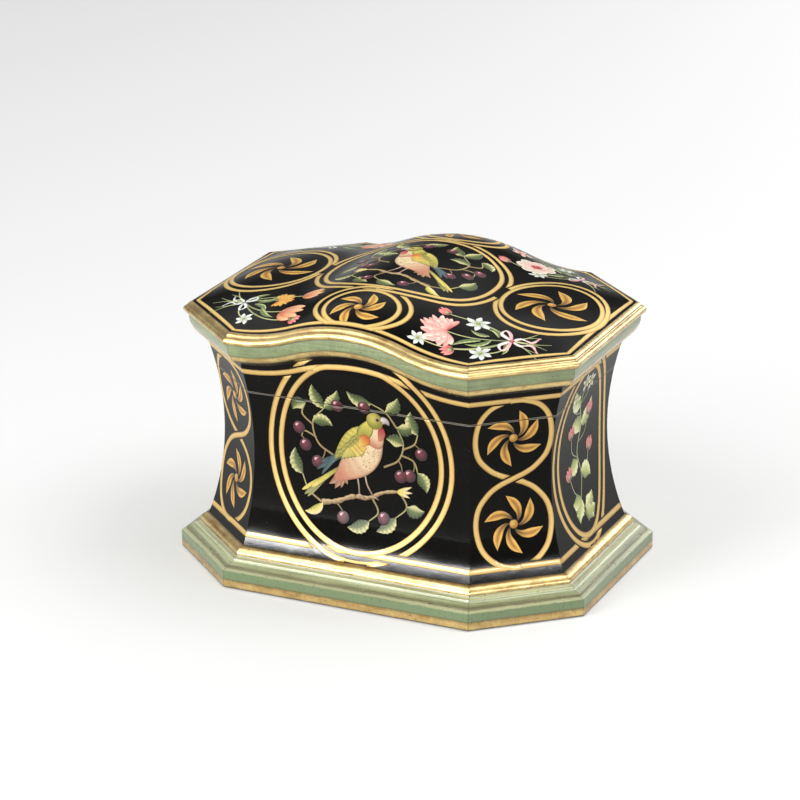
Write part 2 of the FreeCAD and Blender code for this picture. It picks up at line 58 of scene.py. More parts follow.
class Signal:
    """What one step of a finish hands to the next, so that sums of it can be written as sums."""
    __add__, __sub__, __mul__ = map(math_step, ("ADD", "SUBTRACT", "MULTIPLY"))
    __truediv__, __gt__, __abs__ = map(math_step, ("DIVIDE", "GREATER_THAN", "ABSOLUTE"))
    least, most, root = map(math_step, ("MINIMUM", "MAXIMUM", "SQRT"))

    def __init__(self, socket):
        self.socket, self.tree = socket, socket.id_data

    def __rsub__(self, other):
        return add(self.tree, "Math", {0: other, 1: self}, operation="SUBTRACT")

    def to(self, step, key):
        self.tree.links.new(self.socket, step.inputs[key])


def add(tree, kind, inputs, output=0, **settings):
    """One step of a finish, with its inputs linked or set."""
    step = tree.nodes.new("ShaderNode" + kind)
    for key, value in settings.items():
        setattr(step, key, value)
    for key, value in inputs.items():
        if isinstance(value, Signal):
            value.to(step, key)
        else:
            step.inputs[key].default_value = value
    return Signal(step.outputs[output])


def new_finish(name, **sockets):
    """A finish with its constant values set on the shader itself, and its object coordinates."""
    finish = bpy.data.materials.new(name)
    finish.use_nodes = True
    shader = finish.node_tree.nodes["Principled BSDF"]
    for socket, value in sockets.items():
        shader.inputs[socket.replace("_", " ")].default_value = value
    return finish, shader, add(finish.node_tree, "TexCoord", {}, "Object")


def blend(share, first, second, mode="MIX"):
    tree = (share if isinstance(share, Signal) else first).tree
    return add(tree, "Mix", {0: share, 6: first, 7: second}, 2, data_type="RGBA", blend_type=mode)


def ramp(share, *stops, smooth="LINEAR"):
    """A run of tones: stops are (place, value or colour)."""
    result = add(share.tree, "ValToRGB", {0: share})
    tones = result.socket.node.color_ramp
    tones.interpolation = smooth
    while len(tones.elements) < len(stops):
        tones.elements.new(0.5)
    for element, (place, tone) in zip(tones.elements, stops):
        element.position = place
        element.color = tone if isinstance(tone, tuple) else (tone, tone, tone, 1)
    return result


def noise(where, scale, detail=3.0, rough=0.55):
    return add(where.tree, "TexNoise", {"Vector": where, "Scale": scale, "Detail": detail,
                                        "Roughness": rough}, "Fac")


def stretched(where, scale):
    return add(where.tree, "Mapping", {"Vector": where, "Scale": scale})


def coordinate(place, axis):
    """A coordinate of a place, in mm."""
    return add(place.tree, "SeparateXYZ", {0: place}, axis) * 1000.0


def bump(shader, height, distance, strength):
    step = {"Height": height, "Distance": distance, "Strength": strength}
    add(height.tree, "Bump", step).to(shader, "Normal")


CAMERA_SPOT = Vector((0.59093, -1.27069, 0.59860))
CAMERA_TURN, CAMERA_DIP, CAMERA_ROLL = (math.radians(a) for a in (25.2227, 20.5827, -0.6927))
LENS = 148.4775
camera = bpy.data.objects.new("camera", bpy.data.cameras.new("camera"))
camera.data.lens = LENS
camera.data.sensor_width = 36
camera.data.clip_start = 0.05
camera.matrix_world = (
    Matrix.Translation(CAMERA_SPOT) @ Matrix.Rotation(CAMERA_TURN, 4, "Z")
    @ Matrix.Rotation(math.pi / 2 - CAMERA_DIP, 4, "X") @ Matrix.Rotation(CAMERA_ROLL, 4, "Z"))
scene.collection.objects.link(camera)
scene.camera = camera
scene.view_settings.view_transform = "Standard"

FLOOR_HALF = 4.0
FLOOR_GLOW, AMBIENT = 0.24, 0.45
floor_shape = bmesh.new()
bmesh.ops.create_grid(floor_shape, x_segments=1, y_segments=1, size=FLOOR_HALF)
floor = bpy.data.objects.new("floor", bpy.data.meshes.new("floor"))
floor_shape.to_mesh(floor.data)
floor_shape.free()
scene.collection.objects.link(floor)
floor_paint, shader, place = new_finish(
    "floor_paint", Roughness=0.9, Specular_IOR_Level=0.1, Base_Color=shade(218, 219, 218),
    Emission_Color=(1, 1, 1, 1))
camera_ray = add(place.tree, "LightPath", {}, "Is Camera Ray")
(camera_ray * FLOOR_GLOW).to(shader, "Emission Strength")
floor.data.materials.append(floor_paint)

scene.world = bpy.data.worlds.new("studio")
scene.world.use_nodes = True
tree = scene.world.node_tree
camera_ray, glossy_ray, through_ray = (
    add(tree, "LightPath", {}, f"Is {kind} Ray") for kind in ("Camera", "Glossy", "Transmission"))
mirrored = glossy_ray.most(through_ray)
# In the gloss, the sweep is pale at the horizon, dark above it, and pale again high up.
height = add(tree, "SeparateXYZ", {0: add(tree, "TexCoord", {}, "Generated")}, 2)
sweep = mirrored * ramp(height, (0.0, 0.55), (0.10, 0.25), (0.26, 0.08), (0.42, 0.20), (0.56, 0.85),
                        (0.75, 0.60), (1.0, 0.30))
surround = sweep.most(camera_ray) + (1.0 - camera_ray.most(mirrored)) * AMBIENT
sky = tree.nodes["Background"]
sky.inputs["Color"].default_value = (1, 1, 1, 1)
surround.to(sky, "Strength")

LAMPS = (("lamp_right", (0.80, 0.16, 1.20), (0.9, 0.9), 9),
         ("lamp_back_right", (0.46, 1.32, 0.52), (1.1, 0.42), 5.5),
         ("lamp_front", (-0.57, -1.28, 0.216), (0.60, 0.044), 9.0),
         ("lamp_right_front", (1.197, -0.705, 0.238), (0.26, 0.03), 1.8),
         ("lamp_left", (-0.52, -0.86, 0.94), (0.6, 1.0), 6.5))
for name, spot, size, power in LAMPS:
    lamp = bpy.data.objects.new(name, bpy.data.lights.new(name, "AREA"))
    lamp.data.shape = "RECTANGLE"
    lamp.data.size, lamp.data.size_y = size
    lamp.data.energy = power
    lamp.visible_camera = False
    lamp.matrix_world = Matrix.Translation(spot) @ (-Vector(spot)).to_track_quat(
        "-Z", "Y").to_matrix().to_4x4()
    scene.collection.objects.link(lamp)

# Base board, base moulding and lid rims: lengths of wood moulding, mitred at the corners, painted
# celadon green over a dark ground and gilt in bands. The paint is rubbed at the edges, and a brown
# glaze lies in the corners and has crackled. On the plinth a lighter green is painted along the
# bevel as rubbed wear and along the upper hollow as a painted highlight, and the lowest edge is
# darkened as a painted shadow.
GREEN, GREEN_PALE = shade(108, 126, 80), shade(146, 162, 112)
GREEN_LIGHT, GREEN_DEEP = shade(206, 210, 164), shade(78, 90, 50)
GLAZE, GROUND, INSIDE = shade(84, 58, 24), shade(34, 22, 12), shade(12, 11, 9)
GILT, GILT_DEEP = shade(244, 214, 140), shade(166, 116, 48)
LENGTH, DEPTH, CUT_LONG, CUT_SHORT, CUT_RUN = 200.0, 154.0, 40.0, 35.0, 53.15
ARCH_HEIGHT, ARCH_HALF, ARCH_RADIUS = 9.5, 54.0, 79.1
INNER_SIDE, GLAZE_REACH, FOOT_HEIGHT = 16.5, 1.4, 5.0


def band_height(place, arched):
    """The height on a moulding in mm, less the rise of the arch on the front and the back."""
    height = coordinate(place, 2)
    if not arched:
        return height
    along = abs(coordinate(place, 0))
    inner = along.least(ARCH_HALF / 2)
    outer = (ARCH_HALF - along.most(ARCH_HALF / 2)).most(0.0)
    inner, outer = ((ARCH_RADIUS ** 2 - leg * leg).root() for leg in (inner, outer))
    return height - inner + outer - ARCH_HEIGHT / 2


def moulding_finish(name, low, high, gilt_bands, joints, under, streaky, pale=(), arched=False):
    """Paint of a moulding: bands are (from, to) in mm of height, joints are dark lines, under has
    the height below which the green is another tone, pale has (height, share) of a lighter green,
    which on the plinth is rubbed wear on the bevel and a painted highlight along the upper hollow."""
    finish, shader, place = new_finish(name, Coat_Weight=1.0, Coat_Roughness=0.14)
    height = band_height(place, arched) + (noise(place, 260.0) - 0.5) * 0.5
    share = (height - low) / (high - low)

    def at(z):
        return (z - low) / (high - low)

    stops = [stop for start, end in gilt_bands for stop in ((at(start), 1.0), (at(end), 0.0))]
    gilt = ramp(share, (0.0, 0.0), *stops, smooth="CONSTANT")
    # Glaze lies darker in the corners beside each band and joint.
    edges = sorted({z for band in gilt_bands for z in band} | set(joints))
    near = reduce(Signal.least, [abs(height - z) for z in edges])
    corner = ramp(near / GLAZE_REACH, (0.0, 1.0), (0.22, 0.40), (0.8, 0.0))
    clouds = noise(place, 55.0, 5.0, 0.65)
    specks = ramp(noise(place, 900.0, 2.0), (0.66, 0.0), (0.74, 1.0))
    cells = {"Vector": stretched(place, (420.0, 420.0, 60.0)), "Scale": 1.0}
    cells = add(place.tree, "TexVoronoi", cells, "Distance", feature="DISTANCE_TO_EDGE")
    crackle = ramp(cells, (0.0, 1.0), (0.055, 0.0)) * ramp(clouds, (0.42, 0.0), (0.60, 1.0))
    green = blend(ramp(clouds, (0.35, 0.0), (0.65, 1.0)), GREEN, GREEN_PALE)
    streaks = noise(stretched(place, (700.0, 700.0, 50.0)), 1.0)
    green = blend(streaks * 0.20, green, GLAZE)
    # A lighter green in bands by height: rubbed wear on the plinth's bevel, and a painted highlight
    # along the upper part of its hollow.
    if pale:
        green = blend(ramp(share, *((at(z), amount) for z, amount in pale)), green, GREEN_LIGHT)
    # Long level streaks, as the brush left them, lighter on the edges and darker below.
    streaks = noise(stretched(place, (12.0, 12.0, 900.0)), 1.0)
    green = blend(ramp(streaks, (0.44, 0.0), (0.60, streaky)), green, GREEN_LIGHT)
    green = blend(ramp(streaks, (0.34, streaky * 0.45), (0.44, 0.0)), green, GREEN_DEEP)
    z, tone = under
    green = blend(ramp(share, (at(z) - 0.01, 1.0), (at(z), 0.0)), green, tone)
    rubbed = noise(stretched(place, (120.0, 120.0, 260.0)), 1.0, 5.0, 0.7)
    foot = ramp(height / FOOT_HEIGHT, (0.15, 0.4), (0.3, 0.7), (0.6, 0.9), (0.83, 1.0), (0.9, 0.0))
    foot = foot * ramp(rubbed, (0.36, 0.15), (0.62, 0.8))
    worn = (ramp(rubbed, (0.44, 0.0), (0.66, 1.0)) * 0.72).most(foot)
    paint = blend(gilt, green, blend(worn, GILT, GILT_DEEP))
    paint = blend(corner * 0.64, paint, GLAZE)
    # Cracks and specks show the dark ground, and the lowest 0.85 mm of the plinth is darkened to it
    # as a painted shadow in the gap under the base.
    dark = (crackle * 0.3).most(specks).most(ramp(height, (0.85, 1.0), (1.0, 0.0)))
    paint = blend(dark * 0.8, paint, GROUND)
    # Glaze has settled in each mitre: there the insets from a long side and from a cut are alike.
    x, y = (abs(coordinate(place, axis)) for axis in (0, 1))
    inset = (LENGTH / 2 - x).least(DEPTH / 2 - y)
    cut_at = (LENGTH / 2 - CUT_LONG) * CUT_SHORT + DEPTH / 2 * CUT_LONG
    corner_inset = (cut_at - (x * CUT_SHORT + y * CUT_LONG)) / CUT_RUN
    mitre = ramp(abs(inset - corner_inset), (0.06, 0.34), (0.40, 0.0))
    paint = blend(mitre, paint, GLAZE)
    # The side that faces the inside of the box is blackened like the rest of the inside.
    inner = inset.least(corner_inset) > INNER_SIDE
    blend(inner, paint, INSIDE).to(shader, "Base Color")
    (gilt * (1.0 - dark.most(inner)) * 0.85).to(shader, "Metallic")
    ramp(clouds, (0.3, 0.24), (0.7, 0.40)).to(shader, "Roughness")
    bump(shader, noise(place, 420.0) - dark, 0.00005, 0.6)
    return finish


def dress(names, finish):
    """Takes the plain material off CAD nodes and gives them a finish."""
    for name in names:
        nodes[name].data.materials.clear()
        nodes[name].data.materials.append(finish)


plinth_paint = moulding_finish(
    "plinth_paint", 0.0, 17.2, ((0.5, 4.2), (13.2, 17.0)), (9.2, 9.8),
    (8.3, shade(118, 138, 96)), 0.85,
    ((8.2, 0.0), (8.5, 0.75), (9.0, 0.75), (9.4, 0.1), (10.8, 0.4), (12.4, 0.9)))
rim_paint, arch_paint = (
    moulding_finish(name, 103.0, 120.0, ((105.9, 108.5), (114.3, 119.9)), (118.1,),
                    (105.7, shade(30, 22, 14)), 0.15, arched=arched)
    for name, arched in (("rim_paint", False), ("arch_paint", True)))
dress([name for name in nodes if name.startswith(("base_moulding", "base_board"))], plinth_paint)
dress([name for name in nodes if name.startswith("lid_rim")], rim_paint)
dress(("lid_rim_front", "lid_rim_back"), arch_paint)

# Case wall, lid wall and lid panel: papier mache moulded on a former, filled, rubbed down and
# coated with many thin coats of black lacquer, so the gloss is deep but waves a little.
SEAM = 89.0
lacquer, shader, place = new_finish("black_lacquer", Specular_IOR_Level=0.12)
clouds = noise(place, 30.0, 4.0)
dust = ramp(noise(place, 1400.0, 1.0), (0.70, 0.0), (0.76, 1.0))
tone = ramp(clouds, (0.3, shade(6, 6, 5)), (0.7, shade(13, 12, 10)))
tone = blend(dust * 0.2, tone, shade(92, 88, 80))
# A thin pale grey line is painted along the outer edge of the seam: the lacquer worn to the ground
# there, lightened further as a painted highlight on the arris. The parting faces themselves stay
# black.
gap = abs(coordinate(place, 2) - SEAM)
worn = ramp(gap + clouds * 0.5, (0.58, 0.9), (0.76, 0.0)) * ramp(gap, (0.155, 0.0), (0.165, 1.0))
blend(worn, tone, shade(150, 144, 132)).to(shader, "Base Color")
ramp(clouds, (0.3, 0.05), (0.7, 0.09)).to(shader, "Roughness")
waves, peel = noise(place, 45.0, 2.0, 0.4), noise(place, 380.0, 2.0)
bump(shader, waves + peel * 0.12, 0.00012, 0.4)
dress(("case_wall", "lid_wall", "lid_panel"), lacquer)

# Hinges: small brass butts with a rolled barrel, their pins and round-headed screws, dulled and
# darker where the hand doesn't rub them.
hinge_brass, shader, place = new_finish("aged_brass", Metallic=1.0)
tarnish = noise(place, 350.0, 4.0, 0.6)
ramp(tarnish, (0.35, shade(206, 164, 84)), (0.65, shade(146, 108, 52))).to(shader, "Base Color")
ramp(tarnish, (0.35, 0.24), (0.7, 0.45)).to(shader, "Roughness")
bump(shader, noise(stretched(place, (200.0, 4000.0, 4000.0)), 1.0, 2.0), 0.00002, 0.5)
dress([name for name in nodes if name.startswith("hinge")], hinge_brass)

# Felt: a dark felt glued under the base, and a red felt pad cut to the octagon of the inside, laid
# on the floor of the case.
for name, tone, nap in (("base_baize", shade(20, 16, 12), shade(40, 32, 24)),
                        ("floor_pad", shade(112, 24, 30), shade(150, 46, 48))):
    felt, shader, place = new_finish(name + "_felt", Roughness=0.95, Sheen_Weight=0.5,
                                     Specular_IOR_Level=0.15, Sheen_Tint=nap)
    hairs = noise(place, 1800.0, 6.0, 0.7)
    paint = blend(ramp(hairs, (0.35, 0.0), (0.65, 1.0)), tone, nap)
    blend(noise(place, 60.0) * 0.3, paint, tone).to(shader, "Base Color")
    bump(shader, hairs, 0.0004, 0.7)
    dress([name], felt)

# Gold lines: bands of gold paint laid on the lacquer with a brush, a little raised, with thin brown
# edges. One runs round the box above the plinth, one under the rims, following the arch.
LINE_WIDTH, PAINT_BASE, PAINT_STEP, PAINT_SINK = 2.65, 0.04, 0.005, -0.04
CROSSING_GAP, TOP_BASE, TOP_THINNER, TOP_PAINTED_LIGHT = 0.6, 0.065, 0.4, 1.36
PLINTH_LINE, RIM_LINE = 21.8, 99.5
SEAM_LOW, SEAM_HIGH, WALL_TOP = 88.85, 89.15, 103.4
WALL_RADIUS, WALL_NARROWEST, WAIST_INSET = 136.0, 62.0, 19.5
LONG_SIDES, SHORT_SIDES = ("front", "back"), ("right", "left")
LONG_MITRE, SHORT_MITRE = 0.3757, 0.4537
OUTSIDE, PANEL_HEIGHT, RAGGED, SEARCH, TUCK = 150.0, 0.125, 0.56, 14.0, 0.01


def surface(node):
    shell = bmesh.new()
    shell.from_mesh(nodes[node].data)
    return BVHTree.FromBMesh(shell)


case_skin, lid_skin, top_skin = surface("case_wall"), surface("lid_wall"), surface("lid_panel")
# Each face to paint on has its middle in plan, the ways along and up it, and its outward direction.
FACES = {}
for name, x, y in (("front", 0, -1), ("back", 0, 1), ("right", 1, 0), ("left", -1, 0),
                   ("front_right", 1, -1), ("front_left", -1, -1), ("back_right", 1, 1),
                   ("back_left", -1, 1)):
    middle, normal = Vector((x * LENGTH / 2, y * DEPTH / 2, 0)), Vector((x, y, 0))
    if x and y:
        middle -= Vector((x * CUT_LONG / 2, y * CUT_SHORT / 2, 0))
        normal = Vector((x * CUT_SHORT, y * CUT_LONG, 0)).normalized()
    FACES[name] = middle, Vector((-normal.y, normal.x, 0)), Vector((0, 0, 1)), normal
FACES["top"] = Vector((0, 0, 0)), Vector((1, 0, 0)), Vector((0, 1, 0)), Vector((0, 0, 1))


def wall_inset(z):
    return WAIST_INSET - WALL_RADIUS + math.sqrt(WALL_RADIUS ** 2 - (z - WALL_NARROWEST) ** 2)


def half_width(name, inset):
    """Half the length of a face of the wall, at an inset from the base's outline."""
    x, y = LENGTH / 2 - CUT_LONG - LONG_MITRE * inset, DEPTH / 2 - CUT_SHORT - SHORT_MITRE * inset
    if name in LONG_SIDES:
        return x
    if name in SHORT_SIDES:
        return y
    return math.hypot(LENGTH / 2 - inset - x, DEPTH / 2 - inset - y) / 2


def rise(x):
    x = min(abs(x), ARCH_HALF)
    if x < ARCH_HALF / 2:
        return ARCH_HEIGHT - ARCH_RADIUS + math.sqrt(ARCH_RADIUS ** 2 - x * x)
    return ARCH_RADIUS - math.sqrt(ARCH_RADIUS ** 2 - (ARCH_HALF - x) ** 2)


def smooth_line(points, step=1.0, closed=False):
    """Evenly spaced points on a smooth line through the given ones."""
    points = [Vector(p) for p in points]
    count = len(points)
    spans = count if closed else count - 1
    dense = []
    for i in range(spans):
        if closed:
            p0, p1, p2, p3 = (points[(i + k) % count] for k in (-1, 0, 1, 2))
        else:
            p1, p2 = points[i], points[i + 1]
            p0 = points[i - 1] if i else p1 * 2 - p2
            p3 = points[i + 2] if i + 2 < count else p2 * 2 - p1
        cuts = max(3, int((p2 - p1).length / step * 2))
        for j in range(cuts):
            t = j / cuts
            dense.append(0.5 * ((2 * p1) + (p2 - p0) * t + (2 * p0 - 5 * p1 + 4 * p2 - p3) * t * t
                                + (3 * p1 - p0 - 3 * p2 + p3) * t ** 3))
    dense.append(points[0] if closed else points[-1])
    runs = [0.0]
    for a, b in zip(dense, dense[1:]):
        runs.append(runs[-1] + (b - a).length)
    total = runs[-1]
    pieces = max(2, round(total / step))
    even, k = [], 0
    for i in range(pieces + 1):
        goal = total * i / pieces
        while k < len(runs) - 2 and runs[k + 1] < goal:
            k += 1
        gap = runs[k + 1] - runs[k]
        even.append(dense[k].lerp(dense[k + 1], (goal - runs[k]) / gap if gap else 0.0))
    return even


def brush(shape, points, width, tint, layer=0, cells=6, step=1.0, closed=False, dome=0.03):
    """One stroke of paint: a strip bent along its line, in the face's own mm, with its height."""
    line = smooth_line(points, step, closed)
    count = len(line) - 1
    strip = bmesh.ops.create_grid(shape, x_segments=count, y_segments=cells, size=0.5)["verts"]
    colour = shape.verts.layers.float_color["paint"]
    for vert in strip:
        i = round((vert.co.x + 0.5) * count)
        side = vert.co.y * 2
        side = math.copysign(abs(side) ** 0.4, side) if cells > 2 and abs(side) > 1e-6 else side
        ahead = line[min(i + 1, count)] - line[max(i - 1, 0)]
        if closed and i in (0, count):
            ahead = line[1] - line[count - 1]
        ahead = ahead.normalized() if ahead.length else Vector((1, 0))
        t = i / count
        lift = PAINT_BASE + PAINT_STEP * layer
        wide = width(t) if callable(width) else width
        spot = line[i] + Vector((-ahead.y, ahead.x)) * side * wide / 2
        vert.co = (spot.x, spot.y, lift + dome * (1 - side * side))
        vert[colour] = tint(t, side)
    run = shape.loops.layers.uv["brush"]
    for corner in {corner for vert in strip for corner in vert.link_loops}:
        corner[run].uv = (corner.vert.co.x * 0.1, corner.vert.co.y * 0.1)
    if closed:
        bmesh.ops.remove_doubles(shape, verts=strip, dist=0.0001)
    return [vert for vert in strip if vert.is_valid]


def pass_under(shape, strip, over, spot, reach=8.0):
    """Leaves a gap in a band where another passes over it, with a dark edge on each side."""
    spot, clear = Vector(spot), LINE_WIDTH / 2 + CROSSING_GAP
    over = [p for p in over if (p - spot).length < reach + 4]

    def hidden(patch):
        middle = patch.calc_center_median().xy
        return (middle - spot).length < reach and min((middle - p).length for p in over) < clear

    patches = {patch for vert in strip if vert.is_valid for patch in vert.link_faces}
    bmesh.ops.delete(shape, geom=[patch for patch in patches if hidden(patch)], context="FACES")
    # The ragged ends of the patches are drawn to an even line beside the upper band.
    for vert in strip:
        if vert.is_valid and vert.is_boundary and (vert.co.xy - spot).length < reach + 0.5:
            near = min(over, key=lambda p: (vert.co.xy - p).length)
            away = vert.co.xy - near
            if abs(away.length - clear) < RAGGED:
                vert.co.xy = near + away.normalized() * clear


def meeting(first, second, near):
    """Where two lines meet, close to a given place."""
    near = Vector(near)
    spots = [p for p in first if (p - near).length < SEARCH]
    return min(spots, key=lambda p: min((p - q).length for q in second))


def new_strokes():
    shape = bmesh.new()
    shape.verts.layers.float_color.new("paint")
    shape.loops.layers.uv.new("brush")
    return shape


def lay(shape, where, name, skin, body, finish, below=None, above=None):
    """Cuts the strokes at the seam, gives the paint its edge, and lays it on the lacquer."""
    middle, along, up, normal = FACES[where]
    piece = shape.copy()
    for limit, sign in ((below, 1), (above, -1)):
        if limit is not None:
            bmesh.ops.bisect_plane(piece, geom=piece.verts[:] + piece.edges[:] + piece.faces[:],
                                   plane_co=(0, limit, 0), plane_no=(0, sign, 0), clear_outer=True)
    if not piece.faces:
        return
    for patch in piece.faces:
        patch.smooth = True
    rim = [edge for edge in piece.edges if edge.is_boundary]
    for part in bmesh.ops.extrude_edge_only(piece, edges=rim)["geom"]:
        if isinstance(part, bmesh.types.BMVert):
            part.co.z = PAINT_SINK
        elif isinstance(part, bmesh.types.BMFace):
            part.smooth = False
    tone = piece.verts.layers.float_color["paint"]
    for vert in piece.verts:
        v = vert.co.y
        if where == "top":
            # The paint on the lid is thinner, and its colours are made lighter as painted light,
            # for the strong light that falls on the lid from above.
            if vert.co.z > 0:
                vert.co.z = TOP_BASE + (vert.co.z - PAINT_BASE) * TOP_THINNER
            vert[tone] = [min(part * TOP_PAINTED_LIGHT, 1.0) for part in vert[tone]]
        if below is not None:
            v = min(v, below - TUCK)
        if above is not None:
            v = max(v, above + TUCK)
            v = min(v, WALL_TOP - 0.05 + (rise(vert.co.x) if where in LONG_SIDES else 0.0))
        near = middle + along * vert.co.x + up * v
        spot, facing = skin.ray_cast((near + normal * OUTSIDE) * MM, -normal)[:2]
        if spot is None or facing.dot(normal) < 0.2:
            near = (near - normal * wall_inset(v if where != "top" else WALL_NARROWEST)) * MM
            if where == "top":
                near.z = PANEL_HEIGHT
            spot, facing = skin.find_nearest(near)[:2]
        vert.co = spot + facing * vert.co.z * MM
    bmesh.ops.dissolve_degenerate(piece, dist=0.00002 * MM, edges=piece.edges[:])
    bmesh.ops.recalc_face_normals(piece, faces=piece.faces[:])
    flat = [f for f in piece.faces if f.normal.dot(normal) < -0.3]
    if len(flat) > len(piece.faces) / 2:
        bmesh.ops.reverse_faces(piece, faces=piece.faces[:])
    painted = bpy.data.objects.new(name, bpy.data.meshes.new(name))
    piece.to_mesh(painted.data)
    painted.data.materials.append(finish)
    scene.collection.objects.link(painted)
    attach(painted, body)


def lay_on_wall(shape, where, name, finish):
    """Paint that crosses the seam is cut there: the lower part stays with the case."""
    lay(shape, where, name + "_case", case_skin, "case", finish, below=SEAM_LOW)
    lay(shape, where, name + "_lid", lid_skin, "lid", finish, above=SEAM_HIGH)


def paint_finish(name, metallic, rough, relief=0.00002, grain=0.10):
    """Paint under the clear gloss: its colours come from the strokes, with the hairs' streaks."""
    finish, shader, place = new_finish(name, Metallic=metallic, Coat_Weight=0.25,
                                       Coat_Roughness=0.06)
    colour = add(place.tree, "Attribute", {}, "Color", attribute_name="paint")
    streaks = noise(place, 1100.0, 4.0, 0.6)
    tone = ramp(streaks, (0.3, 1.0 - grain), (0.7, 1.0 + grain * 0.6))
    colour = blend(1.0, colour, tone, "MULTIPLY")
    tone = ramp(noise(place, 160.0, 4.0, 0.6), (0.3, 1.0 - grain * 0.7), (0.7, 1.0 + grain * 0.4))
    blend(1.0, colour, tone, "MULTIPLY").to(shader, "Base Color")
    ramp(streaks, (0.3, rough - 0.08), (0.7, rough + 0.08)).to(shader, "Roughness")
    bump(shader, streaks, relief, 0.5)
    return finish


gold_paint = paint_finish("gold_paint", 0.42, 0.42, 0.000001, 0.04)
GOLD_EDGE, GOLD_BODY, GOLD_LIGHT = shade(66, 36, 12), shade(214, 171, 92), shade(242, 209, 134)


def mixed(first, second, share):
    share = min(max(share, 0.0), 1.0)
    return tuple(a + (b - a) * share for a, b in zip(first, second))


def gold_tint(t, side):
    body = mixed(GOLD_LIGHT, GOLD_BODY, abs(side - 0.25) * 1.3)
    return mixed(body, GOLD_EDGE, (abs(side) - 0.72) * 4)


def gold_band(shape, line, layer=0, step=0.5, width=LINE_WIDTH, closed=False):
    return brush(shape, line, width, gold_tint, layer=layer, step=step, closed=closed)


def line_height(name, z, x):
    return z + (rise(x) if name in LONG_SIDES and z > SEAM_HIGH else 0.0)


LONG_RINGS = ((44.0, 47.6, 52.0, 65.0), (39.0, 43.2, 46.0, 65.0))
SIDE_RINGS = ((29.8, 44.3, 44.3, 61.7), (24.5, 39.6, 39.6, 61.4))
RIM_FOOT_LINE = WALL_TOP + 3.5


def oval(name, inner, angles):
    """A ring of a side, from half its width, its reach down and up, and its centre's height."""
    half, low, high, centre = (LONG_RINGS if name in LONG_SIDES else SIDE_RINGS)[inner]
    shift = {"right": -1.0, "left": 1.0}.get(name, 0.0)
    turns = [(math.sin(math.radians(a)), math.cos(math.radians(a))) for a in angles]
    return [Vector((shift + half * s, centre + c * (high if c > 0 else low))) for s, c in turns]


def outer_oval(name):
    """The outer ring of a side, open under the rim, from left to right."""
    ring = oval(name, 0, range(0, -361, -4))
    return [p for p in ring if p.y < line_height(name, RIM_FOOT_LINE, p.x)]


for name in [side for side in FACES if side != "top"]:
    for z, skin, body, title in ((PLINTH_LINE, case_skin, "case", "plinth_line"),
                                 (RIM_LINE, lid_skin, "lid", "rim_line")):
        reach = half_width(name, wall_inset(z)) + 0.5
        shape = new_strokes()
        line = [(reach * k / 30, line_height(name, z, reach * k / 30)) for k in range(-30, 31)]
        strip = gold_band(shape, line)
        if name in LONG_SIDES + SHORT_SIDES:
            # The ring passes over the upper line at the right, and over the lower one at the left.
            ring = smooth_line(outer_oval(name), 0.4)
            side = reach if z > SEAM_HIGH else -reach
            half = [p for p in smooth_line(line, 0.4) if p.x * side > 0]
            spot = meeting(half, ring, (side * 0.52, half[len(half) // 2].y))
            pass_under(shape, strip, ring, spot)
        lay(shape, name, f"{title}_{name}", skin, body, gold_paint)

# Front and back ovals: two gold rings, one inside the other, painted over and under the gold lines
# where they meet them.


def oval_rings(name, title, aside):
    """The outer ring passes under the upper line on the left, under the lower on the right."""
    rings, outer = new_strokes(), outer_oval(name)
    strip = gold_band(rings, outer, 2)
    for z, sign in ((RIM_LINE, -1), (PLINTH_LINE, 1)):
        line = [Vector((x * 0.4 * sign, line_height(name, z, x * 0.4))) for x in range(5, 130)]
        pass_under(rings, strip, line, meeting(line, outer, (sign * aside, z)))
    inner = oval(name, 1, range(0, 360, 4))
    if name in LONG_SIDES:
        # The inner ring runs along the gold lines where it reaches them.
        for p in inner:
            p.y = min(p.y, RIM_LINE + rise(p.x)) if p.y > 90 else max(p.y, PLINTH_LINE)
    gold_band(rings, inner, 4, 1.0, closed=True)
    lay_on_wall(rings, name, f"{title}_{name}", gold_paint)


for name in LONG_SIDES:
    oval_rings(name, "oval", 26)

# Cut corners: one gold band tied in a figure of eight, with a pinwheel of six ochre blades and a
# button in each loop.
EIGHT_UP = ((0, 61), (6, 63.4), (10.8, 66.5), (15.6, 72.3), (17.3, 80.5), (15.9, 89.5),
            (11.5, 95.7), (5, 98.7), (0, 99.3))
EIGHT_DOWN = ((0, 61), (6, 58.5), (10.8, 55.2), (15.6, 49), (17.3, 41), (16, 32.5), (12.5, 26.8),
              (7, 22.9), (0, 21.6))
WHEEL_TIPS = ((82, 38, -19, -92, -149, 153), (104, 54, -10, -76, -127, 170))
OCHRE_LIGHT, OCHRE_DEEP, OCHRE_ROOT = shade(234, 184, 88), shade(150, 84, 18), shade(40, 22, 8)
pinwheel_paint = paint_finish("pinwheel_paint", 0.28, 0.36)


def ochre_tint(t, side):
    if abs(side) > 0.95:
        return mixed(OCHRE_ROOT, OCHRE_DEEP, t * 2)
    body = mixed(OCHRE_DEEP, OCHRE_LIGHT, (abs(side + 0.1) * 1.8) ** 1.2 + max(0.0, t - 0.7) * 2)
    return mixed(OCHRE_ROOT, body, t * 2.3 - 0.1)


def belly(width, peak=0.45, root=0.0, soft=0.8):
    """The width of a stroke that is pressed down and lifted: widest at peak, thin at the root."""
    power = math.log(0.5) / math.log(peak)
    return lambda t: max(0.02, root * (1 - t)
                         + width * max(0.0, math.sin(math.pi * t ** power)) ** soft)


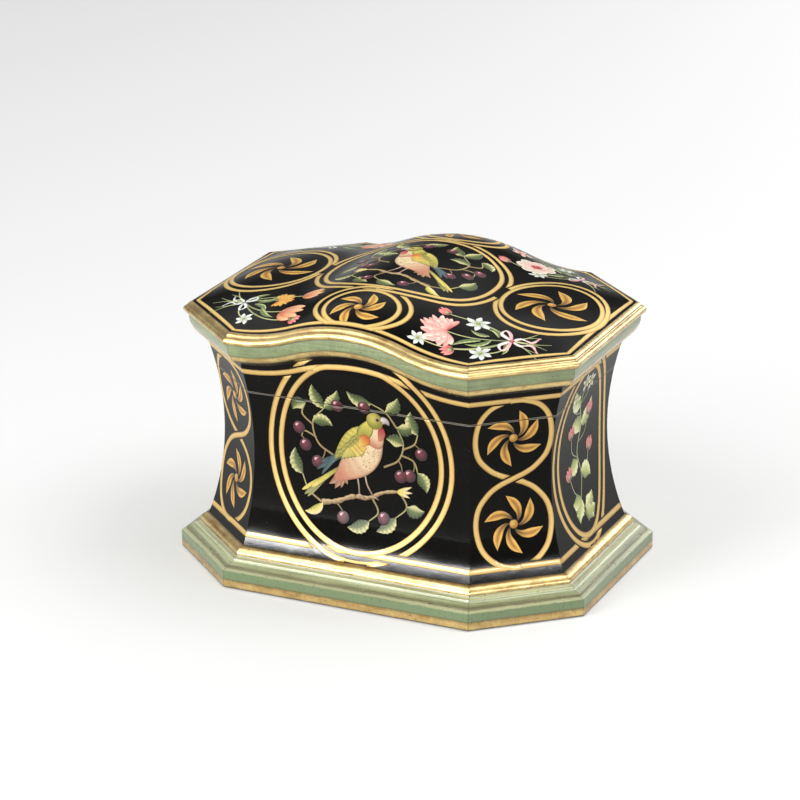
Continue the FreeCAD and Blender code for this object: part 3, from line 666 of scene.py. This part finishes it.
def dot(shape, centre, radius, light, dark, layer=0, glint=(-0.35, 0.35)):
    """A round touch of paint, lighter at one side, as on a berry."""
    def chord(t):
        return math.sqrt(max(0.0, 1 - (2 * t - 1) ** 2))

    def tint(t, side):
        reach = math.hypot(2 * t - 1 - glint[0], side * chord(t) - glint[1])
        return mixed(light, dark, min(1.0, reach) ** 0.7)

    brush(shape, [(centre[0] - radius, centre[1]), (centre[0] + radius, centre[1])],
          lambda t: 2 * radius * chord(t), tint, layer=layer, step=max(0.16, radius / 7),
          dome=min(0.06, radius * 0.03))


def around(centre, angle, reach):
    """The point at an angle in degrees and a distance from a centre."""
    return Vector((centre[0] + reach * math.cos(math.radians(angle)),
                   centre[1] + reach * math.sin(math.radians(angle))))


def pinwheel(shape, centre, radius, tips, twist=80.0, width=3.9):
    """Blades that leave the button in one turning sense, each a comma whose thin tip trails."""
    for tip in tips:
        line = [around(centre, tip - twist * (1 - share) ** 1.25, radius * share)
                for share in (0.1 + 0.9 * k / 8 for k in range(9))]
        brush(shape, line, belly(width, 0.58, 0.6, 1.2), ochre_tint, step=0.5)
    dot(shape, centre, 1.95, shade(248, 212, 120), shade(184, 128, 46), layer=2)


for name in [side for side in FACES if "_" in side]:
    band, wheels = new_strokes(), new_strokes()
    loop = []
    for half in (EIGHT_DOWN, EIGHT_UP):
        loop += [*half, *((-x, z) for x, z in half[-2:0:-1])]
    # The band passes over itself once: it is painted from one side of the crossing to the other.
    line = smooth_line(loop, 0.5, closed=True)
    long_way = gold_band(band, line[14:-14], 2)
    strip = gold_band(band, line[-15:] + line[1:15], 2)
    pass_under(band, strip, line[20:-20], line[0])
    # It comes out from under the line at the top on the left, and at the foot on the right.
    for z, spot in ((RIM_LINE, (-6.5, 98.4)), (PLINTH_LINE, (6.5, 22.6))):
        pass_under(band, long_way, [Vector((0.4 * k, z)) for k in range(-40, 41)], spot, 4.2)
    for z, tips in zip((80.6, 40.4), WHEEL_TIPS):
        pinwheel(wheels, (0, z), 13.6, tips)
    lay_on_wall(band, name, f"eight_{name}", gold_paint)
    lay_on_wall(wheels, name, f"pinwheels_{name}", pinwheel_paint)

# Side ovals: two upright gold rings on each short side, the outer one passing below the plinth line
# and under the rim.
for name in SHORT_SIDES:
    oval_rings(name, "side_rings", 16)

# Lid rings: a central medallion of two gold bands, a wheel of two rings at each of its four sides,
# and a gold line round the edge of the panel.
LID_LINE, LID_RING_WIDTH, LID_EDGE_WIDTH = 10.1, 2.3, 1.9


def ring(centre, halves, power):
    """An oval, or with a higher power one that is fuller at its corners."""
    points = []
    for angle in range(0, 360, 5):
        c, s = math.cos(math.radians(angle)), math.sin(math.radians(angle))
        points.append((centre[0] + halves[0] * math.copysign(abs(c) ** (2 / power), c),
                       centre[1] + halves[1] * math.copysign(abs(s) ** (2 / power), s)))
    return points


top_rings, top_wheels = new_strokes(), new_strokes()
bands = {}
for title, centre, halves, power in (
        ("medallion", (0, 0), (43, 38.5), 2.3), ("medallion_inner", (0, 0), (39, 34.7), 2.3),
        ("front", (0, -52.7), (21.7, 16.5), 2.0), ("front_inner", (0, -54.3), (17, 14), 2.0),
        ("back", (0, 52.7), (21.7, 16.5), 2.0), ("back_inner", (0, 54.3), (17, 14), 2.0),
        ("right", (66.7, 0), (23.5, 31.5), 2.0), ("right_inner", (66.7, 0), (21.6, 26.5), 2.0),
        ("left", (-66.7, 0), (23.5, 31.5), 2.0), ("left_inner", (-66.7, 0), (21.6, 26.5), 2.0)):
    # The front and the back wheel run into the gold line at the edge.
    line = [(x, max(min(y, DEPTH / 2 - LID_LINE), LID_LINE - DEPTH / 2))
            for x, y in ring(centre, halves, power)]
    strip = gold_band(top_rings, line, 1 + len(bands), 0.6, LID_RING_WIDTH, closed=True)
    bands[title] = (strip, smooth_line(line, 0.4, closed=True))
# Each wheel's outer ring passes over the medallion's on one side and under it on the other.
for over, under, near in (("front", "medallion", (-17, -37)), ("medallion", "front", (17, -37)),
                          ("back", "medallion", (17, 37)), ("medallion", "back", (-17, 37)),
                          ("right", "medallion", (44, 16)), ("medallion", "right", (44, -16)),
                          ("left", "medallion", (-44, -16)), ("medallion", "left", (-44, 16))):
    spot = meeting(bands[under][1], bands[over][1], near)
    pass_under(top_rings, bands[under][0], bands[over][1], spot, 9.0)
for sign in (-1, 1):
    pinwheel(top_wheels, (-0.9, sign * 55.7), 12.5, WHEEL_TIPS[0])
    pinwheel(top_wheels, (sign * 66.7, 0), 18.5, WHEEL_TIPS[1], 84.0, 4.8)
corners = [(half_width("front", LID_LINE), LID_LINE - DEPTH / 2),
           (LENGTH / 2 - LID_LINE, -half_width("right", LID_LINE))]
corners += [(x, -y) for x, y in reversed(corners)]
corners += [(-x, y) for x, y in reversed(corners)]
for first, second in zip(corners, corners[1:] + corners[:1]):
    first, second = Vector(first), Vector(second)
    gold_band(top_rings, [first.lerp(second, k / 10) for k in range(11)], 0, 1.0, LID_EDGE_WIDTH)
lay(top_rings, "top", "lid_rings", top_skin, "lid", gold_paint)
lay(top_wheels, "top", "lid_pinwheels", top_skin, "lid", pinwheel_paint)

# Birds on branches: painted free hand in coloured paint on the lacquer, light over dark, on the
# front, the back and in the lid's medallion, with plums and toothed leaves round them.
picture_paint = paint_finish("picture_paint", 0.0, 0.38)
SAGE_DARK, SAGE, SAGE_LIGHT = shade(26, 36, 14), shade(94, 108, 54), shade(222, 214, 150)
TWIG, TWIG_LIGHT = shade(120, 86, 46), shade(204, 176, 122)
PLUM_DARK, PLUM, PLUM_LIGHT = shade(48, 12, 22), shade(138, 48, 62), shade(222, 160, 168)
CREAM, BLUSH, ROSE = shade(232, 210, 166), shade(192, 120, 92), shade(168, 32, 48)
OLIVE, LEMON, AMBER = shade(118, 122, 36), shade(220, 200, 92), shade(210, 112, 34)
TEAL, INK, SHANK = shade(66, 96, 98), shade(24, 20, 16), shade(206, 180, 158)


def wash(root, tip, edge=None, light=None):
    """Paint that runs from a tone at the root to one at the tip, with an edge and a lit side."""
    def tint(t, side):
        tone = mixed(root, tip, t * t * (3 - 2 * t))
        if light:
            tone = mixed(tone, light, max(0.0, 0.7 - abs(side - 0.4) * 1.4))
        return mixed(tone, edge, max(0.0, abs(side) - 0.75) * 3.2) if edge else tone
    return tint


def moved(at, scale, flip):
    """Where a point of a motif falls once the motif is scaled, mirrored and placed."""
    return lambda x, y: Vector((at[0] + x * scale * flip, at[1] + y * scale))


def curve_between(start, end, bend):
    """A line from start to end that bows to the left by a share of its length."""
    start, end = Vector(start), Vector(end)
    run = end - start
    side = Vector((-run.y, run.x)) * bend
    return [start + run * t + side * 4 * t * (1 - t) for t in (0, 0.25, 0.5, 0.75, 1)]


def stem(shape, points, width, layer=0, root=TWIG, tip=SAGE):
    brush(shape, points, lambda t: width * (1 - 0.5 * t), wash(root, tip, SAGE_DARK, TWIG_LIGHT),
          layer=layer, cells=4, step=0.6)


def leaf(shape, start, end, width, bend, layer, teeth=0.0, tones=(SAGE_DARK, SAGE, SAGE_LIGHT)):
    """A leaf: one full stroke, dark on one side and light on the other, and a pale midrib."""
    line = curve_between(start, end, bend)
    press = belly(width, 0.42, 0.25, 1.05)

    def tint(t, side):
        tone = mixed(tones[1], tones[2], max(0.0, side) * (1.1 + 0.4 * math.sin(t * 40)))
        tone = mixed(tone, tones[0], max(0.0, -side) * (0.85 + 0.35 * math.sin(t * 40)))
        return mixed(tone, tones[0], max(0.0, abs(side) - 0.9) * 5.0)

    brush(shape, line, lambda t: press(t) * (1 + teeth * math.sin(t * 44)), tint, layer=layer,
          step=0.32)
    brush(shape, curve_between(start, line[-2], bend), 0.32, wash(tones[2], tones[1]),
          layer=layer + 2, cells=2, step=0.8, dome=0.0)


def plum(shape, centre, radius, layer=2):
    """A plum with a soft shine and a glint."""
    def spot(x, y):
        return centre[0] + radius * x, centre[1] + radius * y

    dot(shape, centre, radius, PLUM, PLUM_DARK, layer, (-0.15, 0.15))
    brush(shape, [spot(-0.62, -0.05), spot(-0.42, 0.46), spot(0.12, 0.62)],
          belly(radius * 0.42, 0.5, 0.0, 0.7), wash(PLUM, PLUM_LIGHT, PLUM, PLUM_LIGHT),
          layer=layer + 4, step=0.3, cells=4)
    dot(shape, spot(-0.34, 0.36), radius * 0.2, shade(255, 250, 248), PLUM_LIGHT, layer + 9)


def feather_tint(root, tip, edge):
    """A feather: lit along its middle, dark round its edge and its tip."""
    def tint(t, side):
        tone = mixed(mixed(root, tip, t), CREAM, max(0.0, 0.35 - abs(side - 0.2)))
        return mixed(tone, edge, max(0.0, abs(side) - 0.7, (t - 0.84) * 2) * 3.3)
    return tint


def rounded(width):
    """The width of a short feather: narrow at the root and round at its tip."""
    return lambda t: width * (0.6 + 0.4 * min(1.0, 2 * t)) * math.sqrt(
        max(0.03, 1 - max(0.0, t / 0.3 - 2.33) ** 2))


def bird(shape, at, scale, flip, seed):
    """A bird that perches: tail and flight feathers first, then body, wing, neck, head and eye."""
    place = moved(at, scale, flip)

    def stroke(points, width, tint, layer, **how):
        if isinstance(width, tuple):
            width = belly(width[0] * scale, *width[1:])
        brush(shape, [place(*p) for p in points], width, tint, layer=layer, **how)

    for k, (x, y) in enumerate(((-26.5, -25.4), (-29.6, -22.6), (-28.2, -24.6), (-24.6, -20.6))):
        stroke([(-8, -7), (-17, -14.2), (x, y)], (2.3, 0.72, 1.0, 0.5),
               wash(OLIVE, (OLIVE, LEMON)[k % 2], INK, (CREAM, LEMON)[k % 2]), k * 3, step=0.6)
    for k, (x, y) in enumerate(((-24, -8.6), (-22, -11.4), (-19.5, -13.6))):
        stroke([(-4, 2), (-13, -4.5), (x, y)], (2.8, 0.5, 1.0, 0.7),
               wash(TEAL, shade(40, 58, 66), INK, shade(118, 150, 146)), 13 + k * 3)
    for x, foot in ((-1.5, 1.0), (3.0, 6.5)):
        heel = x + foot * 0.5 + 1.5
        stroke([(x, -9), (x + 1.4, -15), (heel, -20.5)], 0.75 * scale,
               wash(SHANK, shade(150, 118, 92)), 16, cells=2)
        for toe in (-2.6, 0.4, 2.8):
            stroke([(heel, -20.3), (heel + toe, -21.6)], 0.7 * scale, wash(SHANK, TWIG), 17,
                   cells=2)

    def breast(t, side):
        tone = mixed(BLUSH, CREAM, t * 2.6 - 0.25)
        tone = mixed(tone, BLUSH, max(0.0, -side - 0.35) * 0.6)
        ripple = 0.16 * (1 + math.sin(t * 52 + side * 9)) * (1.2 - t)
        tone = mixed(tone, shade(176, 124, 92), ripple)
        return mixed(tone, shade(116, 66, 48), max(0.0, abs(side) - 0.82) * 3.6)

    for k, (x, y) in enumerate(((-15.5, -17.6), (-12.4, -19.4), (-9.0, -18.6), (-5.6, -16.4))):
        stroke([(-3, -6), (-8, -12), (x, y)], (4.2, 0.5, 1.4, 0.8),
               wash(shade(206, 146, 112), shade(146, 88, 58), shade(92, 50, 32), CREAM), 18 + k)
    stroke([(-12, -14.5), (-6, -9.4), (2, -1.5), (7, 8), (9, 15)],
           lambda t: scale * (1.2 + 15.4 * math.sin(math.pi * min(1.0, 0.05 + t * 0.83)) ** 1.15),
           breast, 24, cells=10, step=0.6, dome=0.1)
    spots = random.Random(seed)
    for _ in range(90):
        t, side = spots.uniform(-0.7, 1.5), spots.uniform(-0.3, 1.2)
        side *= 1.0 if t < 0.9 else 0.4
        x, y = 2 + 6.4 * t + 4.4 * side, 1 + 8.6 * t - 5.0 * side
        size = spots.uniform(0.18, 0.32) * scale
        dot(shape, place(x, y), size, shade(170, 116, 90), shade(132, 80, 60), 43)

    def back_tint(t, side):
        tone = mixed(LEMON, OLIVE, t * 0.8 + 0.25 * math.sin(t * 60 + side * 4))
        return mixed(tone, INK, max(0.0, abs(side) - 0.85) * 4)

    stroke([(5, 12.6), (-1, 8.9), (-7, 2.4), (-12.4, -4.4)], (6.6, 0.42, 2.6, 0.7), back_tint, 32,
           cells=8, step=0.5)
    stroke([(6.2, 5), (9.2, 11.2), (10.2, 16.6)], (8.6, 0.35, 3.4, 0.7), breast, 40, cells=8,
           step=0.5)
    wing_root, down, aside = Vector((5.0, 7.8)), Vector((-0.72, -0.69)), Vector((-0.69, 0.72))
    for k in range(7):
        root = wing_root + down * 5.5 + aside * (2.2 - 0.85 * k)
        tip = wing_root + down * (19.0 - 1.7 * k) + aside * (0.8 - 0.8 * k)
        stroke([root, root.lerp(tip, 0.5) + aside * 0.6, tip], (1.9, 0.5, 1.2, 0.6),
               feather_tint(LEMON, mixed(OLIVE, LEMON, 0.4), shade(62, 54, 20)), 44 + k * 2,
               step=0.4)
    for row in (3, 2, 1):
        for k in range(5):
            out = (2 - k) * (1.0, 1.25, 1.35, 1.35)[row] + 0.2 * (row % 2)
            root = wing_root + down * (0.8 + 2.2 * row) + aside * out
            tone = mixed(AMBER, LEMON, 0.25 * row + 0.12 * abs(k - 2)) if k > 0 else OLIVE
            stroke([root, root + down * 1.7, root + down * 3.6], rounded(1.9 * scale),
                   feather_tint(tone, mixed(tone, LEMON, 0.5), shade(92, 70, 22)),
                   58 + (3 - row) * 4 + k, step=0.3)
    stroke([(5.8, 9.2), (3.4, 7.2), (0.8, 3.6)], (5.0, 0.40, 1.2, 0.75),
           wash(shade(196, 84, 30), LEMON, shade(150, 84, 26), AMBER), 76, cells=8, step=0.4)
    for k in range(12):
        rank, row = divmod(k, 3)
        x, y = 3.4 - 3.6 * rank - 1.1 * row, 13.2 - 3.9 * rank - 1.3 * row + 0.6 * (row % 2)
        stroke([(x, y), (x - 1.2, y - 1.2), (x - 2.3, y - 2.3)], rounded(2.0 * scale),
               feather_tint(OLIVE, mixed(OLIVE, LEMON, 0.5), shade(64, 62, 22)), 41 - rank % 2,
               step=0.4)
    stroke([(1.6, 8.8), (4.8, 13.2), (7.6, 18.4)], (5.4, 0.45, 3.0, 0.6),
           wash(OLIVE, LEMON, shade(96, 96, 34), LEMON), 62, cells=8, step=0.4)
    stroke([(11.2, 7.8), (12.6, 11.6), (12.6, 16.0)], (3.6, 0.55, 0.5, 0.7),
           wash(BLUSH, ROSE, ROSE), 66, step=0.4)
    dot(shape, place(9.6, 18.3), 4.3 * scale, shade(226, 208, 104), shade(132, 126, 40), 70,
        (-0.2, 0.3))
    stroke([(12.8, 19.4), (15.4, 19.1), (17.0, 17.2)], (2.7, 0.35, 1.5, 0.7),
           wash(shade(206, 196, 190), shade(128, 112, 108), shade(90, 76, 70),
                shade(238, 232, 226)), 76, step=0.4)
    dot(shape, place(11.0, 19.2), 1.15 * scale, shade(226, 206, 130), shade(150, 124, 58), 78)
    dot(shape, place(11.1, 19.2), 0.82 * scale, shade(50, 42, 34), INK, 84)


def branch_with_bird(shape, at, scale, flip, seed):
    """The picture: a broken branch with the bird, twigs with leaves round it, and plums."""
    place = moved(at, scale, flip)

    def line(*points):
        return [place(*p) for p in points]

    def bark_tint(t, side):
        knots = 0.5 + 0.5 * math.sin(t * 70 + side * 3) * math.sin(t * 31 - side * 2)
        tone = mixed(TWIG, TWIG_LIGHT, 0.3 + 0.6 * side + 0.35 * knots)
        return mixed(tone, shade(58, 38, 20), max(0.0, abs(side) - 0.75) * 3)

    def gnarled(t):
        return scale * (2.7 - 1.2 * t) * (1 + 0.14 * math.sin(t * 37) + 0.08 * math.sin(t * 83))

    brush(shape, line((-20, -26), (-12, -24.4), (-4, -21), (4, -20.4), (12, -16.6), (20, -15)),
          gnarled, bark_tint, layer=10, step=0.4)
    for tip in ((26.5, -11.6), (26.8, -14.6), (25.6, -17.2)):
        brush(shape, line((19, -15.2), tip), belly(1.5 * scale, 0.4, 0.8), wash(LEMON, CREAM, TWIG),
              layer=12)
    twigs = (
        ((20, -15), (24, -22), (18.5, -28)), ((6, -19.8), (9.5, -26.5), (5, -31.5)),
        ((-20, -26), (-27, -21), (-30.5, -13.5)), ((-14, -2), (-22, 3.5), (-24, 14), (-17.5, 22)),
        ((-22.6, 6), (-28.6, 8.4), (-30.6, 5.6)), ((-23.8, 12), (-29.2, 17.4), (-27, 23.6)),
        ((12, -4), (19.5, 0.6), (22.4, 9), (19.4, 18)), ((22, 6.4), (28, 10), (30.2, 15.4)),
        ((21.4, 3.4), (27.4, 1.2), (29.4, -4.4)), ((19.6, 17.2), (14.6, 24.6), (7.4, 28.4)))
    for points in twigs:
        stem(shape, line(*points), 1.15 * scale, 0, shade(138, 112, 66), shade(160, 156, 96))
    leaves = (
        ((18.5, -28), (10.5, -34.5), 0.1), ((24, -22), (32, -22.5), -0.14),
        ((5, -31.5), (-4.5, -35.2), 0.12), ((-30.5, -13.5), (-33.6, -2.6), 0.14),
        ((-24, 14), (-15.2, 13.2), 0.18), ((-17.5, 22), (-10.4, 31.4), -0.12),
        ((-17.5, 22), (-21.6, 32.6), 0.12), ((-27, 23.6), (-33.2, 19.6), -0.16),
        ((22.4, 9), (14.8, 10.6), -0.1), ((30.2, 15.4), (28, 25.6), 0.14),
        ((29.4, -4.4), (33.4, -12.2), 0.1), ((7.4, 28.4), (-2.8, 32.6), 0.16),
        ((14.6, 24.6), (20.8, 32.4), -0.14), ((19.6, 17.2), (27, 20), -0.2))
    for start, end, bend in leaves:
        end = Vector(start).lerp(Vector(end), 1.16)
        leaf(shape, place(*start), place(*end), 6.4 * scale, bend * flip, layer=2, teeth=0.08)
    # Each plum hangs from a point on a twig.
    plums = (
        ((-28.6, 1.2), (-30.6, 5.6)), ((-22.4, -6.4), (-18.5, 0.8)), ((-31.6, 9.8), (-28.6, 8.4)),
        ((25.2, -6.4), (27.4, 1.2)), ((20.6, -7.4), (19.5, 0.6)), ((31.4, 5.4), (28, 10)),
        ((-10.4, 24.4), (-17.5, 22)), ((3.6, 25.6), (7.4, 28.4)), ((12.6, -29), (18.5, -28)),
        ((-8.4, -31.6), (-13, -25)))
    for spot, hanger in plums:
        stem(shape, curve_between(place(*hanger), place(*spot), 0.15), 0.8 * scale, layer=1)
        plum(shape, place(*spot), 3.2 * scale, layer=8)
    leaf(shape, place(-19.5, -26.4), place(-28.6, -31.4), 4.2 * scale, 0.16 * flip, 12, 0.0,
         (OLIVE, LEMON, CREAM))
    bird(shape, place(-1.0, 1.0), scale, flip, seed)


for name, flip, seed in (("front", 1, 3), ("back", -1, 8)):
    picture = new_strokes()
    branch_with_bird(picture, (0.0, 66.0), 0.94, flip, seed)
    lay_on_wall(picture, name, f"bird_picture_{name}", picture_paint)
picture = new_strokes()
branch_with_bird(picture, (0.0, 0.5), 0.89, -1, 5)
lay(picture, "top", "bird_picture_lid", top_skin, "lid", picture_paint)

# Bouquets on the lid: four bunches of garden flowers tied with a ribbon, one in each corner of the
# panel, painted petal by petal with a loaded brush.
WHITE, MIST = shade(246, 242, 230), shade(150, 166, 148)
PINK, CRIMSON, SHELL = shade(226, 128, 118), shade(168, 44, 56), shade(250, 220, 202)
PEACH, RUST = shade(238, 178, 120), shade(178, 92, 52)
STEM_GREEN, STEM_PALE = shade(98, 118, 74), shade(196, 202, 140)


def petal(shape, line, width, tint, layer, step=0.4):
    brush(shape, line, width, tint, layer=layer, step=step, cells=4)


# Every flower takes its centre, the direction away from its stem, its size and its lowest layer.
def star_flower(shape, centre, away, radius, layer, petals=6, root=MIST, tip=WHITE):
    """A white lily or jasmine: pointed petals round a yellow eye."""
    for k in range(petals):
        angle = away + 360 / petals * k
        reach = radius * (1.0, 0.86, 0.94)[k % 3]
        line = [around(centre, angle, radius * 0.08), around(centre, angle + 7, reach * 0.55),
                around(centre, angle, reach)]
        petal(shape, line, belly(radius * 0.42, 0.5, 0.3, 0.9), wash(root, tip, root, WHITE),
              layer + k % 2 * 3)
    dot(shape, centre, radius * 0.16, LEMON, OLIVE, layer + 8)


def carnation(shape, centre, away, radius, layer, tones=(CRIMSON, PINK, SHELL)):
    """A double pink: rows of narrow ragged petals that fan out from the calyx."""
    for row, (count, reach, spread) in enumerate(((27, 1.0, 112), (21, 0.78, 96), (15, 0.54, 80),
                                                  (9, 0.32, 60))):
        root = mixed(tones[0], tones[1], 0.2 * row)
        for k in range(count):
            lean = 2 * k / (count - 1) - 1
            angle = away + spread * lean
            far = radius * reach * (1 + 0.13 * math.cos(k * 2.6 + row)) * (1 - 0.16 * lean * lean)
            line = [around(centre, angle, radius * 0.03), around(centre, angle + 5, far * 0.6),
                    around(centre, angle - 4 * math.sin(k * 1.7), far)]
            tip = mixed(tones[1], tones[2], 0.2 + 0.3 * (k % 3))
            petal(shape, line, belly(radius * 0.24, 0.66, 0.1, 0.6),
                  wash(root, tip, tones[0], tones[2]), layer + row * 7 + k % 4 * 2, 0.5)


def tulip(shape, base, away, length, layer, tones=(RUST, PEACH, SHELL)):
    """A parrot tulip seen from the side: three or four long petals that part at their tips."""
    for k, (off, reach) in enumerate(((-34, 0.86), (32, 0.9), (-13, 1.0), (12, 0.96))):
        line = [Vector(base), around(base, away + off * 1.1, length * 0.5),
                around(base, away + off * 0.8, length * reach)]
        petal(shape, line, belly(length * 0.34, 0.45, 0.6, 0.8),
              wash(tones[0], tones[1], tones[0], tones[2]), layer + k * 3, 0.45)


def rose(shape, centre, _, radius, layer, tones=(CRIMSON, PINK, SHELL)):
    """A full rose, alike from all sides: rings of round petals, each ring smaller and deeper."""
    for row, (count, reach) in enumerate(((7, 0.68), (6, 0.46), (4, 0.26))):
        deep = mixed(tones[1], tones[0], row * 0.3)
        for k in range(count):
            angle = 360 / count * k + row * 25
            spot = around(centre, angle, radius * reach)
            side = around((0, 0), angle + 90, radius * (0.40 - row * 0.06))
            line = [spot - side, spot + around((0, 0), angle, radius * 0.16), spot + side]
            petal(shape, line, belly(radius * (0.62 - row * 0.12), 0.5, 0.1, 0.6),
                  lambda t, lean: mixed(tones[2], deep, 0.5 + lean * 0.5),
                  layer + row * 6 + k % 3 * 2, 0.45)
    dot(shape, centre, radius * 0.2, tones[1], tones[0], layer + 20)


def bud(shape, spot, away, size, layer):
    """A closed bud in its green cup."""
    tulip(shape, spot, away, size, layer, (CRIMSON, PINK, SHELL))
    petal(shape, [Vector(spot), around(spot, away, size * 0.45)], belly(size * 0.4, 0.3, 0.5),
          wash(SAGE_DARK, STEM_PALE, SAGE_DARK), layer + 12)


lily, gilly = star_flower, partial(star_flower, petals=5, root=PINK, tip=SHELL)
marigold = partial(carnation, tones=(RUST, AMBER, LEMON))


def bow(shape, centre, aim, size, layer, tones):
    """The ribbon: two loops and two loose ends, turned over on themselves."""
    for sign in (-1, 1):
        side, end = aim + sign * 62, aim + 180 - sign * 34
        loop = [(sign * 14, 0.75), (sign * 4, 1.12), (-sign * 20, 0.85)]
        loop = [around(centre, side + turn, size * reach) for turn, reach in loop]
        petal(shape, [centre, *loop, centre],
              lambda t: size * (0.10 + 0.13 * abs(math.sin(t * 2 * math.pi))),
              wash(tones[1], tones[2], tones[0], WHITE), layer + 2)
        tail = [(0, 0.6), (sign * 26, 1.15), (sign * 8, 1.7)]
        tail = [around(centre, end + turn, size * reach) for turn, reach in tail]
        petal(shape, [centre, *tail], lambda t: size * (0.09 + 0.10 * abs(math.sin(t * 7))),
              wash(tones[2], tones[1], tones[0], WHITE), layer + 1)
    dot(shape, centre, size * 0.17, tones[1], tones[0], layer + 6)


def bouquet(shape, tie, aim, size, ribbon, blooms, leaves):
    """Stems that fan out from the ribbon to the flowers, narrow leaves, and cut ends behind."""
    for _, spot, _, bend in blooms:
        stem(shape, curve_between(tie, spot, bend), 0.95, 0, STEM_GREEN, STEM_PALE)
    for k in range(6):
        end = around(tie, aim + 180 + (k - 2.5) * 17, 17.0 * (1.0, 0.8, 0.92)[k % 3])
        stem(shape, curve_between(tie, end, 0.07 * (-1) ** k), 0.85, 1, STEM_PALE, STEM_GREEN)
    for start, end, bend in leaves:
        leaf(shape, start, end, 2.3, bend, 3, 0.0, (STEM_GREEN, SAGE, STEM_PALE))
    for flower, spot, radius, _ in blooms:
        run = Vector(spot) - Vector(tie)
        flower(shape, spot, math.degrees(math.atan2(run.y, run.x)), radius, 8)
    bow(shape, tie, aim, size, 30, ribbon)


PINK_RIBBON = (CRIMSON, shade(214, 150, 150), WHITE)
GREY_RIBBON = (shade(96, 112, 112), shade(180, 192, 186), WHITE)
bunches = new_strokes()
bouquet(bunches, (66, -43), 196, 7.6, PINK_RIBBON, (
    (carnation, (38.5, -50), 11.0, 0.06), (lily, (47.5, -36.5), 6.6, -0.08),
    (lily, (30, -61.4), 4.6, 0.14), (lily, (57.5, -57.5), 5.6, 0.2), (bud, (46, -59.6), 6.4, 0.1),
    (bud, (34.5, -37), 6.0, -0.12)), (
    ((58, -47), (49, -54.5), 0.15), ((60, -43), (53, -39), -0.2), ((56, -44), (47, -43.2), 0.12),
    ((64, -46), (66, -54), 0.15), ((54, -49), (44, -58), -0.1)))
bouquet(bunches, (-63, -43.5), -14, 6.0, GREY_RIBBON, (
    (marigold, (-46.5, -41), 6.6, 0.06), (tulip, (-40, -52.5), 13.0, -0.1),
    (tulip, (-36, -38.5), 10.5, 0.12), (lily, (-56, -57.5), 4.8, -0.16),
    (bud, (-31.5, -60.5), 5.6, -0.12)), (
    ((-57, -45), (-49, -51), 0.15), ((-56, -43), (-47, -34), -0.2), ((-52, -48), (-42, -57), -0.1),
    ((-60, -41), (-54, -35), 0.15)))
bouquet(bunches, (63, 44), 176, 6.0, PINK_RIBBON, (
    (rose, (41, 44), 8.0, 0.05), (gilly, (28, 57), 5.4, -0.12), (lily, (50, 57.5), 5.0, -0.14),
    (bud, (31, 37.5), 6.0, 0.1), (lily, (46, 34), 4.6, 0.12)), (
    ((57, 47), (50, 51), -0.15), ((55, 43), (48, 39.4), 0.15), ((52, 47), (38, 55.5), -0.12)))
bouquet(bunches, (-63, 44), 4, 6.0, GREY_RIBBON, (
    (tulip, (-46, 43), 11.0, 0.06), (gilly, (-33, 38.5), 5.6, 0.1),
    (marigold, (-42, 55.5), 5.4, 0.12), (lily, (-28.5, 56.5), 5.2, 0.14)), (
    ((-57, 46), (-49, 51), 0.15), ((-56, 43), (-46, 38.4), -0.15)))
lay(bunches, "top", "lid_bouquets", top_skin, "lid", picture_paint)

# Side sprigs: on each short side a wavy stem with slender leaves, lobed leaves low down, pink buds
# and a few cream florets at the top.
LEAF_TONES = shade(98, 110, 52), shade(190, 196, 118), shade(252, 248, 200)
SPRIG_TWIGS = (
    ((1.4, 39), (7.5, 43), (11, 50)), ((-1.4, 47), (-8, 50), (-10.5, 57)),
    ((2, 58), (8, 62), (9.6, 69)), ((1.4, 65), (-6, 68), (-8.6, 75)),
    ((1.4, 79), (7.6, 81), (8.6, 86)), ((2.6, 84), (-3.4, 87), (-5.6, 92)))
SPRIG_LEAVES = (
    ((-1, 33), (-10.5, 38.5), 0.15), ((-1, 33), (-11.5, 31.6), 0.1), ((-1, 33), (-7.6, 26.6), -0.1),
    ((1.5, 38), (9.6, 33), -0.15), ((1.5, 38), (11, 38.8), -0.1), ((1.5, 38), (7.4, 28.6), 0.1),
    ((-1.6, 50), (-11.4, 45.4), -0.15), ((2, 57), (12, 55.4), -0.15),
    ((-0.2, 70), (10.4, 75.6), 0.16), ((-0.8, 73), (-10.6, 83.4), 0.16),
    ((2.6, 83), (11.4, 92.6), -0.16))
for name, flip in (("right", -1), ("left", 1)):
    sprig = new_strokes()
    place = moved((flip, 0), 1.0, flip)
    spine = ((-2, 27), (1.6, 37), (-1.6, 49), (2.4, 61), (-1, 73), (2.6, 83), (1, 92))
    for points, width in ((spine, 1.15), *((twig, 0.8) for twig in SPRIG_TWIGS)):
        stem(sprig, [place(*p) for p in points], width, 0, STEM_GREEN, STEM_PALE)
    for start, end, bend in SPRIG_LEAVES:
        leaf(sprig, place(*start), place(*end), 8.4, bend * flip, 2, 0.07, LEAF_TONES)
    for spot, away in (((11, 50), 70), ((-10.5, 57), 110), ((9.6, 69), 80), ((-8.6, 75), 100)):
        bud(sprig, place(*spot), away if flip > 0 else 180 - away, 7.4, 6)
    for spot in ((8.6, 86.5), (-5.6, 92.5), (1, 94)):
        star_flower(sprig, place(*spot), 20, 4.6, 6, 5, shade(176, 170, 96), WHITE)
    lay_on_wall(sprig, name, f"sprig_{name}", picture_paint)
